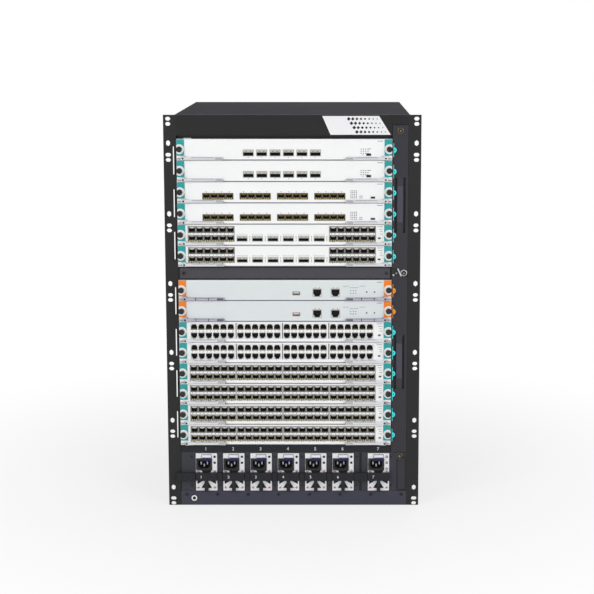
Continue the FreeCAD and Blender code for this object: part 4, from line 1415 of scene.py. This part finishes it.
@dataclass
class PowerModule(Front):
    """Front details of one power module."""

    number: int
    size: ModuleSizes = ModuleSizes()

    def __post_init__(self) -> None:
        """Read the module's place from its node's box."""
        self.node = "power_module_%d" % self.number
        (self.left, self.right), _, (self.foot, _) = span(self.node)
        self.middle = (self.left + self.right) / 2
        self.face = self.size.face
        self.last = self.number == MODULES

    def build(self) -> None:
        """Dress the module's case and add its inlet, latch, lamps, guard, handle and number."""
        s = self.size
        PAINT.dress_zones(self.node, ZINC, (self.face - s.painted, BEZEL))
        self.inlet()
        self.latch()
        self.lamps()
        self.guard()
        self.handle()
        digit(str(self.number), self.middle - 10, self.foot + s.handle_rise + s.handle_h / 2,
              self.face + s.handle_proud + 0.14, s.number_h, self.node,
              self.node + "_number_low")

    def inlet(self) -> None:
        """Black mains inlet with a keyed recess, painted shade on its floor, three prongs and cut
        lower corners.
        """
        s = self.size
        piece = Piece(self.node + "_inlet", self.node)
        x0, z0 = self.left + s.inlet_in, self.foot + s.inlet_rise
        x1, z1 = x0 + s.inlet_w, z0 + s.inlet_h
        rim, tall = self.layer(-0.1, 1.3), grown((z0, z1), s.inlet_rim)
        piece.box((self.left + 0.6, x0), rim, tall, BLACK)
        piece.box((x1, x1 + s.inlet_rim), rim, tall, BLACK)
        piece.box((x0, x1), rim, (tall[0], z0), BLACK)
        piece.box((x0, x1), rim, (z1, tall[1]), BLACK)
        piece.frame(grown((x0, x1), -0.02), grown((z0, z1), -0.02),
                    self.layer(-s.inlet_deep - 0.3, 0.6), s.inlet_wall, BLACK)
        (a, b), (foot, top) = grown((x0, x1), -s.inlet_wall), grown((z0, z1), -s.inlet_wall)
        # black floor of the recess, darkened further with painted shade
        piece.box((a, b), self.layer(-s.inlet_deep - 0.4, 0.1 - s.inlet_deep), (foot, top), CAVITY)
        for corner, way in ((a, 1), (b, -1)):
            piece.slab([(corner, foot), (corner + way * s.inlet_cut, foot),
                        (corner, foot + s.inlet_cut)], self.layer(-s.inlet_deep, 0.4), BLACK)
        for share, lift in ((0.25, 1.66), (0.5, -2.5), (0.75, 1.66)):
            piece.box(about(x0 + s.inlet_w * share, s.prong_half[0]),
                      self.layer(-s.inlet_deep, -3.5),
                      about(z0 + s.inlet_h / 2 + lift, s.prong_half[1]), ZINC)
        piece.bake()

    def latch(self) -> None:
        """White pull over a violet latch, with a frame and a line of painted shade about the pull.
        """
        s = self.size
        piece = Piece(self.node + "_latch", self.node, bevel=0.4)
        x0, z0 = self.left + s.latch_in, self.foot + s.latch_rise
        piece.box((x0 - 0.1, x0 + s.latch_w + 0.1), self.layer(0.05, 5.05),
                  (z0 - 0.1, z0 + 4.7), LATCH)
        piece.box((x0 - 0.4, x0 + s.latch_w - 0.8), self.layer(0.02, 3.6),
                  (z0 + 5.0, z0 + 10.2), WHITE_INK)
        # line of painted shade near the foot of the pull
        piece.box((x0 + 0.2, x0 + s.latch_w - 1.4), self.layer(3.5, 3.8),
                  (z0 + 5.4, z0 + 5.9), SHADE)
        # frame of painted shade round the pull
        piece.frame((x0 - 1.4, x0 + s.latch_w + 0.2), (z0 + 4.7, z0 + 11.2),
                    self.layer(-0.05, 0.5), 0.8, SHADE)
        piece.bake()

    def lamps(self) -> None:
        """Lamps at the right, one more on the last module, and printed dashes under them."""
        s = self.size
        piece = Piece(self.node + "_lamps", self.node)
        for rise in s.lamp_rises + (s.extra_rise,) * self.last:
            x, z = self.right - s.lamp_in, self.foot + rise
            piece.lathe(x, z, [(2.4, self.face - 0.05), (2.4, self.face + 0.4),
                               (1.9, self.face + 0.5)], KNOB, 20)
            # lamp's middle: pale on the last module, near-black painted shade in the window on the
            # others
            piece.lathe(x, z, [(1.2, self.face + 0.2), (1.2, self.face + 0.55),
                               (0.6, self.face + 0.8)], LIP if self.last else CAVITY, 16)
        for n in range(4):
            z = self.foot + 40.5 - 1.5 * n
            self.print_on(piece, (self.right - 7, self.right - 2.4), (z, z + 0.5), INK)
        piece.bake()

    def guard(self) -> None:
        """Fan guard: sectors filled with painted shade over the dark fan, with a blade each, a
        pale hub and four corner screws.
        """
        s = self.size
        piece = Piece(self.node + "_fan_guard", self.node)
        centre = (self.middle, self.foot + s.fan_rise)
        sector = [(s.hub + 0.1, -s.hub / 2 + 0.2), (s.fan_r - 0.1, -s.sector_half + 0.2),
                  (s.fan_r - 0.1, s.sector_half - 0.2), (s.hub + 0.1, s.hub / 2 - 0.2)]
        blade = [(s.hub + 1.5, -2.2), (s.fan_r - 1.5, 1.5), (s.fan_r - 1.5, 3.4),
                 (s.hub + 1.5, -1.2)]
        for quarter in range(4):
            turn = quarter * TURN / 4
            # near-black painted shade in the sector opening, with the dark fan behind
            piece.slab(placed(sector, centre, turn), self.layer(-5.9, -0.6), CAVITY)
            piece.slab(placed(blade, centre, turn), self.layer(-1.2, -0.3), KNOB)
        piece.lathe(*centre, [(s.hub + 0.6, self.face - 0.2), (s.hub + 0.6, self.face + 0.5),
                              (s.hub - 0.8, self.face + 0.9)], BEZEL, 32)
        for x in about(centre[0], s.guard_screw[0]):
            for z in about(centre[1], s.guard_screw[1]):
                piece.lathe(x, z, [(2.6, self.face - 0.1), (2.6, self.face + 0.9),
                                   (1.9, self.face + 1.4)], COPPER_TINT, 20)
                cross(piece, x, z, self.layer(1.35, 1.45), (1.5, 0.3), SCREW)
        piece.bake()

    def handle(self) -> None:
        """Dark skin over the cross handle and its stem."""
        s = self.size
        piece = Piece(self.node + "_handle", self.node)
        z0 = self.foot + s.handle_rise
        skin = self.layer(0.05, s.handle_proud + 0.12)
        piece.box(grown((self.left, self.right), 0.05), skin, grown((z0, z0 + s.handle_h), 0.05),
                  BAND)
        piece.box(about(self.middle, s.stem_w / 2 + 0.05), skin, (self.foot - 0.05, z0 - 0.05),
                  BAND)
        # small dot of near-black painted shade for a hole in the handle
        piece.lathe(self.middle + 9, z0 + s.handle_h / 2,
                    [(1.1, skin[1] - 0.2), (1.1, skin[1] + 0.02)], CAVITY, 12)
        piece.bake()


# ---------------------------------------------------------------- fan trays

class Tray(Enum):
    """Which of the two fan trays."""

    LOWER = "lower"
    UPPER = "upper"


@dataclass(frozen=True)
class TraySizes:
    """Sizes of a fan tray's front in millimetres."""

    face: float = 230.0
    painted: float = 24.5
    fans: int = 3
    low_grip_foot: float = 230.6
    high_grip_foot: float = 532.4
    grip_h: float = 105.0
    recess_half: float = 10.5
    recess_deep: float = 19.9
    bar_half: float = 5.6
    bar_deep: float = 5.1
    bar_foot: float = 20.0
    bar_head: float = 16.0
    joint_z: float = 456.0
    screw_r: float = 4.5
    screw_l: float = 4.3
    high_screw_in: float = 6.8
    low_screw_in: float = 8.3
    head_screw_drop: float = 10.6
    lip_top: float = 464.2
    lip_foot: float = 449.8
    lip_lean: float = 6.0
    lip_w: float = 2.4
    mark_in: float = 1.7
    mark_rise: float = 18.5
    mark_bar: Pair = (1.0, 12.5)
    mark_r: Pair = (4.9, 5.2)
    mark_head: float = 6.0


@dataclass
class FanTray(Front):
    """Front of one fan tray: grip, screws and the marks beside the card slots."""

    which: Tray
    size: TraySizes = TraySizes()

    def __post_init__(self) -> None:
        """Read the tray's place from its node's box."""
        self.node = "fan_tray_" + self.which.value
        (self.left, self.right), _, (self.foot, self.top) = span(self.node)
        self.middle = (self.left + self.right) / 2
        self.face = self.size.face

    def build(self) -> None:
        """Dress the tray and its impellers, and add the front's furniture."""
        PAINT.dress_zones(self.node, ZINC, (self.face - self.size.painted, TRAY))
        for number in range(1, self.size.fans + 1):
            PAINT.dress("impeller_%s_%d" % (self.which.value, number), BLACK)
        self.grip()
        self.screws()
        self.joint_lip()
        self.marks()

    def grip(self) -> None:
        """Moulded insert of the finger recess with painted shade at its back, and the rounded bar
        across it with painted shade at its ends.
        """
        s = self.size
        low = s.high_grip_foot if self.which is Tray.UPPER else s.low_grip_foot
        high = low + s.grip_h
        insert = Piece(self.node + "_grip_insert", self.node)
        insert.frame(about(self.middle, s.recess_half - 0.02), grown((low, high), -0.02),
                     self.layer(-s.recess_deep, -0.3), 0.6, KNOB)
        # dark grey painted shade at the back of the recess
        insert.box(about(self.middle, s.recess_half - 0.6), self.layer(-s.recess_deep, -4.5),
                   grown((low, high), -0.6), RECESS)
        insert.bake()
        bar = Piece(self.node + "_grip_bar", self.node, bevel=0.6)
        bar.box(about(self.middle, s.bar_half), self.layer(-s.bar_deep, 0.5),
                (low + s.bar_foot, high - s.bar_head), GRIP)
        # dark grey painted shade at the bar's ends
        for z in ((low + 0.3, low + s.bar_foot), (high - s.bar_head, high - 0.3)):
            bar.box(about(self.middle, s.bar_half - 0.05), self.layer(-s.bar_deep, 0.1), z, RECESS)
        bar.bake()

    def screws(self) -> None:
        """Captive screws where the two trays meet, and one with a washer at the top."""
        s = self.size
        piece = Piece(self.node + "_captive_screws", self.node)
        base = self.face + 0.1
        if self.which is Tray.UPPER:
            captive_screw(piece, self.right - s.high_screw_in, s.joint_z, base, s.screw_r,
                          s.screw_l, LIP)
            captive_screw(piece, self.middle, self.top - s.head_screw_drop, base, s.screw_r,
                          s.screw_l, BRASS)
        else:
            captive_screw(piece, self.left + s.low_screw_in, s.joint_z, base, s.screw_r,
                          s.screw_l)
        piece.bake()

    def joint_lip(self) -> None:
        """Bright folded lip where the two trays meet: sloping above, a small square below."""
        s = self.size
        piece = Piece(self.node + "_joint_lip", self.node)
        if self.which is Tray.UPPER:
            high, low = self.middle - 2.2, self.middle - 2.2 + s.lip_lean
            piece.slab([(high, s.lip_top), (high - s.lip_w, s.lip_top),
                        (low - s.lip_w, s.lip_foot), (low, s.lip_foot)],
                       self.layer(-0.1, 0.5), ALLOY)
        else:
            piece.box((self.left + 1.5, self.left + 4.5), self.layer(-0.1, 0.4),
                      (450.5, 453.5), ALLOY)
        piece.bake()

    def marks(self) -> None:
        """Coloured half-round marks beside each card slot: a bar with half an ellipse on it."""
        s = self.size
        piece = Piece(self.node + "_slot_marks", self.node)
        bar_w, bar_half = s.mark_bar
        x = self.left + s.mark_in
        for node in card_nodes():
            z = span(node)[2][0] + s.mark_rise
            if not self.foot < z < self.top - s.mark_head:
                continue
            # the inks glow a little: painted light on printed marks
            ink = ORANGE_INK if CardKind.SUPERVISOR.value in node else CYAN_INK
            self.print_on(piece, (x, x + bar_w), about(z, bar_half), ink)
            piece.slab(arc((x + bar_w, z), s.mark_r, (-TURN / 4, TURN / 4), 16),
                       self.layer(*PRINT), ink)
            piece.box((x + 2.2, x + 3.1), self.layer(0.0, 0.1), about(z, 2.0), TRAY)
        piece.bake()


# ---------------------------------------------------------------- chassis

SHELL = {"base_plate": ROOF, "left_side_panel": ROOF, "right_side_panel": ROOF,
         "top_cover": ROOF, "rear_panel": ROOF, "left_rack_ear": EAR, "right_rack_ear": EAR,
         "top_fascia": CROWN, "divider_panel": DIVIDER, "power_bay_frame": BAY,
         "bottom_fascia": FASCIA, "backplane": BOARD, "fan_bay_wall": ZINC,
         "panel_screws": SCREW, "corner_cover": TRAY}


@dataclass(frozen=True)
class ShellSizes:
    """Sizes and places of the fixed shell's small parts in millimetres."""

    face: float = 230.0
    card_left: float = -216.6
    header: Pair = (105.6, 119.8)
    header_right: float = 186.6
    gap: Pair = (127.0, 131.6)
    gap_z: Pair = (29.6, 105.0)
    number_z: float = 111.8
    number_h: float = 6.2
    band: Pair = (50.8, 65.9)
    band_left: float = -224.4
    band_proud: float = 9.12
    band_gap: float = 1.0
    bay_screw_z: Pair = (96.5, 39.2)
    bay_screw_r: float = 2.3
    header_screw_x: Pair = (-213.5, 183.4)
    header_screw_z: float = 112.0
    header_screw_r: float = 1.8
    stud_r: float = 3.0
    stud_step: float = 59.31
    studs: int = 8
    stud_low: float = 21.3
    stud_high: float = 455.7
    lip_w: float = 3.0
    cover_rim: float = 1.8
    cover_screw: Pair = (5.8, 5.3)
    strap: Pair = (24.25, 14.25)
    badge_x: Pair = (56.0, 162.0)
    badge_z: Pair = (717.6, 752.6)
    badge_lean: float = 22.0
    diamonds: tuple[int, int] = (8, 4)
    diamond_half: float = 3.6
    diamond_less: float = 0.34
    diamond_step: Pair = (7.6, 8.1)
    diamond_from: Pair = (46.0, 5.3)
    # height of the sheet of painted shade in the gap above the first card
    gap_shade: Pair = (710.6, 716.2)
    seam_x: Pair = (-217.6, 217.2)
    seam_z: Pair = (30.0, 716.0)


@dataclass
class Chassis(Front):
    """Fixed shell: finishes, numbers, small screws, seams, badge and earth socket."""

    size: ShellSizes = ShellSizes()

    def __post_init__(self) -> None:
        """Set the front and read the places of the power modules from their boxes."""
        self.face = self.size.face
        self.bays = [span("power_module_%d" % number)[0] for number in range(1, MODULES + 1)]

    def build(self) -> None:
        """Dress the shell's nodes and add the fixed small parts."""
        for node, finish in SHELL.items():
            PAINT.dress(node, finish)
        self.power_header()
        self.band()
        self.bay_screws()
        self.stud_slots()
        self.divider()
        self.corner()
        self.earth_socket()
        self.badge()
        self.seams()

    def power_header(self) -> None:
        """Darker header strip with plain numbers, and painted shade in the gap beside the last
        bay.
        """
        s = self.size
        (x0, _), _, _ = span("card_01_uplink")
        strip = Piece("power_header_strip", "chassis")
        strip.box((x0 + 0.2, s.header_right), self.layer(-0.05, 0.1), s.header, BAND)
        # near-black painted shade in the gap beside the last bay
        strip.box(s.gap, self.layer(-0.05, 0.15), s.gap_z, CAVITY)
        strip.bake()
        for number, bay in enumerate(self.bays, 1):
            digit(str(number), sum(bay) / 2 - 1, s.number_z, self.face + 0.12, s.number_h,
                  "chassis", "bay_number_%d" % number)

    def band(self) -> None:
        """Dark skins of the fixed stretches of the band between the module handles."""
        s = self.size
        piece = Piece("bay_band_skins", "chassis")
        starts = [s.band_left] + [right + s.band_gap for _, right in self.bays[:-1]]
        for start, (left, _) in zip(starts, self.bays):
            piece.box(grown((start, left - s.band_gap), 0.05), self.layer(0.1, s.band_proud),
                      grown(s.band, 0.05), BAND)
        piece.bake()

    def bay_screws(self) -> None:
        """Domed screws of the bay frame and of its header."""
        s = self.size
        piece = Piece("bay_frame_screws", "chassis")
        middles = [self.bays[0][0] - 8]
        middles += [(one[1] + after[0]) / 2 for one, after in zip(self.bays[:5], self.bays[1:6])]
        middles += [self.bays[5][1] + 6, self.bays[6][1] + 3.6]
        for x in middles:
            for z in s.bay_screw_z:
                domed_screw(piece, x, z, self.face, s.bay_screw_r)
        for x in s.header_screw_x:
            domed_screw(piece, x, s.header_screw_z, self.face, s.header_screw_r)
        piece.bake()

    def stud_slots(self) -> None:
        """Domed heads with a cross on the panel screws."""
        s = self.size
        piece = Piece("panel_screw_slots", "chassis")
        (x0, x1), _, _ = span("panel_screws")
        first, last = x0 + s.stud_r, x1 - s.stud_r
        spots = [(first + n * s.stud_step, s.stud_low) for n in range(s.studs)]
        for x, z in spots + [(first, s.stud_high), (last, s.stud_high)]:
            domed_screw(piece, x, z, self.face + 1.0, s.stud_r + 0.1)
        piece.bake()

    def divider(self) -> None:
        """Painted shade in the gaps round the middle panel, and the folded line along it."""
        s = self.size
        piece = Piece("divider_details", "chassis")
        (_, x1), _, (z0, z1) = span("divider_panel")
        x0 = s.card_left
        # painted shade in the gaps above, below and beside the middle panel
        for z in (z0 + 0.1, z1 - 2.1):
            self.shade_gap(piece, (x0 + 0.4, x1 - 0.4), (z, z + 2.0), 0.06)
        for x in ((x0 + 0.3, x0 + s.lip_w), (x1 - s.lip_w, x1 - 0.3)):
            self.shade_gap(piece, x, (z0 + 0.3, z1 - 0.3), 0.1)
        piece.box((x0 + 22, x1 - 22), self.layer(-0.1, 0.3), (z1 - 5.2, z1 - 4.8), BAY)
        piece.bake()

    def shade_gap(self, piece: Piece, x: Pair, z: Pair, proud: float) -> None:
        """Add a dark strip of painted shade, from a little behind the face to a little ahead of
        it.
        """
        piece.box(x, self.layer(-0.1, proud), z, CAVITY)

    def corner(self) -> None:
        """Raised rim of the corner cover, drawn in near-black painted shade, with its captive
        screw.
        """
        s = self.size
        piece = Piece("corner_cover_details", "chassis")
        (x0, x1), _, (z0, z1) = span("corner_cover")
        # rim drawn as a near-black line of painted shade
        piece.frame(grown((x0, x1), -s.cover_rim), (z0 + s.cover_rim, z1 - 9.0),
                    self.layer(1.5, 1.75), 0.6, CAVITY)
        captive_screw(piece, x0 + s.cover_screw[0], z1 - s.cover_screw[1], self.face + 1.6, 4.6,
                      4.0, BRASS)
        piece.bake()

    def earth_socket(self) -> None:
        """White ring of the wrist-strap socket, and painted shade in its bore."""
        s, face = self.size, self.face
        piece = Piece("strap_socket", "chassis")
        x, z = s.card_left + s.strap[0], s.strap[1]
        piece.lathe(x, z, [(5.6, face + 1.5), (5.6, face + 1.9), (4.9, face + 2.3),
                           (3.4, face + 2.3), (3.2, face + 1.7)], WHITE_INK, 32)
        # near-black painted shade in the bore
        piece.lathe(x, z, [(3.1, face + 1.55), (3.1, face + 1.8), (1.0, face + 1.85)], CAVITY)
        piece.bake()

    def badge(self) -> None:
        """Pale leaning plate with diamonds that shrink across it, a plain pattern."""
        s = self.size
        piece = Piece("badge_plate", "chassis")
        (x0, x1), (foot, top) = s.badge_x, s.badge_z
        piece.slab([(x0 + s.badge_lean * 0.7, foot), (x1 + s.badge_lean, foot), (x1, top),
                    (x0, top)], self.layer(-0.05, 0.5), WHITE_INK)
        columns, rows = s.diamonds
        for column in range(columns):
            half = s.diamond_half - s.diamond_less * column
            for row in range(rows):
                z = foot + s.diamond_from[1] + row * s.diamond_step[1]
                slant = s.badge_lean * (1 - (z - foot) / (top - foot))
                x = x0 + s.diamond_from[0] + column * s.diamond_step[0] + slant
                piece.slab([(x, z - half), (x + half, z), (x, z + half), (x - half, z)],
                           self.layer(0.4, 0.56), CROWN)
        piece.bake()

    def seams(self) -> None:
        """Dark sheet of painted shade in the gap above the first card, and painted shade in the
        seams beside the ears.
        """
        s = self.size
        piece = Piece("shell_seams", "chassis")
        # black sheet well behind the face: painted shade in the gap above the first card
        piece.box((s.card_left + 0.2, s.header_right - 0.2), self.layer(-24.0, -11.0), s.gap_shade,
                  KNOB)
        # painted shade in the seams beside the ears
        for x in s.seam_x:
            self.shade_gap(piece, (x, x + 0.4), s.seam_z, 0.08)
        piece.bake()


# ---------------------------------------------------------------- studio

@dataclass(frozen=True)
class SoftLight:
    """A square area light: its place, power in watts and side, in metres."""

    name: str
    place: tuple[float, float, float]
    power: float
    side: float


@dataclass(frozen=True)
class StudioSizes:
    """Camera, stage and sky, in metres."""

    distance: float = 2.8
    across: float = 0.073
    height: float = 0.924
    pitch_deg: float = 8.6
    lens: float = 90.815
    sensor: float = 36.0
    shift_x: float = -0.05788
    shift_y: float = -0.07969
    front: float = 0.23
    reach: float = 9.0
    back: float = 5.0
    radius: float = 1.2
    tall: float = 7.0
    drop: float = 0.0005
    steps: int = 16
    pale: float = 0.85
    shadow_r: float = 0.3
    plain_r: float = 1.1
    near_share: float = 0.74
    sky: float = 0.38
    aim_height: float = 0.4
    lights: tuple[SoftLight, ...] = (SoftLight("key_left", (-2.6, -3.2, 2.2), 68, 2.2),
                                     SoftLight("key_right", (2.8, -3.4, 1.6), 54, 2.2),
                                     SoftLight("top_soft", (0.2, -0.6, 3.2), 14, 2.4),
                                     SoftLight("rear_soft", (0.5, 3.0, 2.6), 30, 2.4))


@dataclass
class Studio:
    """Pale floor and backdrop, soft lights and the camera."""

    size: StudioSizes = StudioSizes()

    def build(self) -> None:
        """Add the stage, the lights and the camera."""
        self.stage()
        self.lights()
        self.camera()

    def stage(self) -> None:
        """Floor that sweeps up behind into a backdrop.

        Its profile runs level, then along a quarter circle of radius r, where the way back
        is r sin a and the rise r (1 - cos a), then straight up; it is carried along X.
        """
        s = self.size
        angle = np.linspace(0, TURN / 4, s.steps)
        points = np.empty((2, s.steps + 2, 3))
        points[..., 0] = np.array([-s.reach, s.reach])[:, None]
        points[..., 1] = np.concatenate([[-s.reach], s.back + s.radius * np.sin(angle),
                                         [s.back + s.radius]])
        points[..., 2] = np.concatenate([[0.0], s.radius * (1 - np.cos(angle)),
                                         [s.tall]]) - s.drop
        index = np.arange(2 * (s.steps + 2)).reshape(2, -1)
        faces = np.stack([index[0, :-1], index[1, :-1], index[1, 1:], index[0, 1:]], -1)
        mesh = bpy.data.meshes.new("studio_sweep")
        mesh.from_pydata(points.reshape(-1, 3).tolist(), [], faces.tolist())
        mesh.materials.append(self.white())
        sweep = bpy.data.objects.new("studio_sweep", mesh)
        bpy.context.scene.collection.objects.link(sweep)

    def white(self) -> bpy.types.Material:
        """White far away, and pale with a soft shadow near the object's foot.

        The share of plain white grows smoothly with the distance from the origin, and holds
        only for what the camera, gloss and glass see.

        Returns:
            The stage's material.
        """
        s = self.size
        material = bpy.data.materials.new("studio_white")
        material.use_nodes = True
        tree = material.node_tree
        shader = tree.nodes["Principled BSDF"]
        shader.inputs["Base Color"].default_value = (s.pale, s.pale, s.pale, 1)
        shader.inputs["Roughness"].default_value = 1.0
        shader.inputs["Specular IOR Level"].default_value = 0.0
        flat = tree.nodes.new("ShaderNodeVectorMath")
        flat.operation = "LENGTH"
        place = tree.nodes.new("ShaderNodeTexCoord").outputs["Object"]
        tree.links.new(place, flat.inputs[0])
        far = tree.nodes.new("ShaderNodeMapRange")
        far.interpolation_type = "SMOOTHSTEP"
        far.inputs["From Min"].default_value = s.shadow_r
        far.inputs["From Max"].default_value = s.plain_r
        far.inputs["To Min"].default_value = s.near_share
        tree.links.new(flat.outputs["Value"], far.inputs["Value"])
        path = tree.nodes.new("ShaderNodeLightPath")
        seen = path.outputs["Is Camera Ray"]
        for word in ("Is Glossy Ray", "Is Transmission Ray"):
            seen = self.joined(tree, "MAXIMUM", seen, path.outputs[word])
        share = self.joined(tree, "MULTIPLY", seen, far.outputs["Result"])
        glow = tree.nodes.new("ShaderNodeEmission")
        mix = tree.nodes.new("ShaderNodeMixShader")
        tree.links.new(share, mix.inputs[0])
        tree.links.new(shader.outputs[0], mix.inputs[1])
        tree.links.new(glow.outputs[0], mix.inputs[2])
        tree.links.new(mix.outputs[0], tree.nodes["Material Output"].inputs["Surface"])
        return material

    @staticmethod
    def joined(tree: bpy.types.NodeTree, operation: str, first: bpy.types.NodeSocket,
               second: bpy.types.NodeSocket) -> bpy.types.NodeSocket:
        """Two sockets joined by a math node.

        Args:
            tree: the material's node tree.
            operation: what the math node does.
            first, second: sockets to join.

        Returns:
            Socket with the result.
        """
        node = tree.nodes.new("ShaderNodeMath")
        node.operation = operation
        tree.links.new(first, node.inputs[0])
        tree.links.new(second, node.inputs[1])
        return node.outputs[0]

    def lights(self) -> None:
        """Large soft lights that face the object's middle, and a low fill from the sky."""
        s = self.size
        world = bpy.data.worlds.new("studio_sky")
        world.use_nodes = True
        sky = world.node_tree.nodes["Background"]
        sky.inputs["Color"].default_value = (1, 1, 1, 1)
        sky.inputs["Strength"].default_value = s.sky
        bpy.context.scene.world = world
        for light in s.lights:
            lamp = bpy.data.lights.new(light.name, "AREA")
            lamp.energy, lamp.size = light.power, light.side
            thing = bpy.data.objects.new(light.name, lamp)
            thing.location = light.place
            aim = np.array([0.0, 0.0, s.aim_height]) - light.place
            yaw = math.atan2(aim[0], aim[1])
            tilt = math.atan2(math.hypot(aim[0], aim[1]), -aim[2])
            thing.rotation_euler = (tilt, 0, -yaw)
            bpy.context.scene.collection.objects.link(thing)

    def camera(self) -> None:
        """Camera pitched a little down, with its frame shifted to hold the whole switch."""
        s = self.size
        data = bpy.data.cameras.new("studio_camera")
        data.sensor_width, data.lens, data.clip_end = s.sensor, s.lens, 50
        data.shift_x, data.shift_y = s.shift_x, s.shift_y
        thing = bpy.data.objects.new("studio_camera", data)
        thing.location = (s.across, -s.front - s.distance, s.height)
        thing.rotation_euler = (math.pi / 2 - math.radians(s.pitch_deg), 0, 0)
        bpy.context.scene.collection.objects.link(thing)
        bpy.context.scene.camera = thing
        LOG.info("studio_camera: lens %.1f mm", s.lens)


def card_nodes() -> list[str]:
    """Names of the cards' CAD nodes, from the first slot down."""
    return [node for node in sorted(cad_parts)
            if node.startswith("card_") and "lever" not in node]


def main() -> None:
    """Dress the whole switch."""
    logging.basicConfig(level=logging.INFO)
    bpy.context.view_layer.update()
    bpy.context.scene.view_settings.view_transform = "Standard"
    Chassis().build()
    for node in card_nodes():
        Card(node).build()
    for number in range(1, MODULES + 1):
        PowerModule(number).build()
    for which in Tray:
        FanTray(which).build()
    Studio().build()


if __name__ == "__main__":
    main()
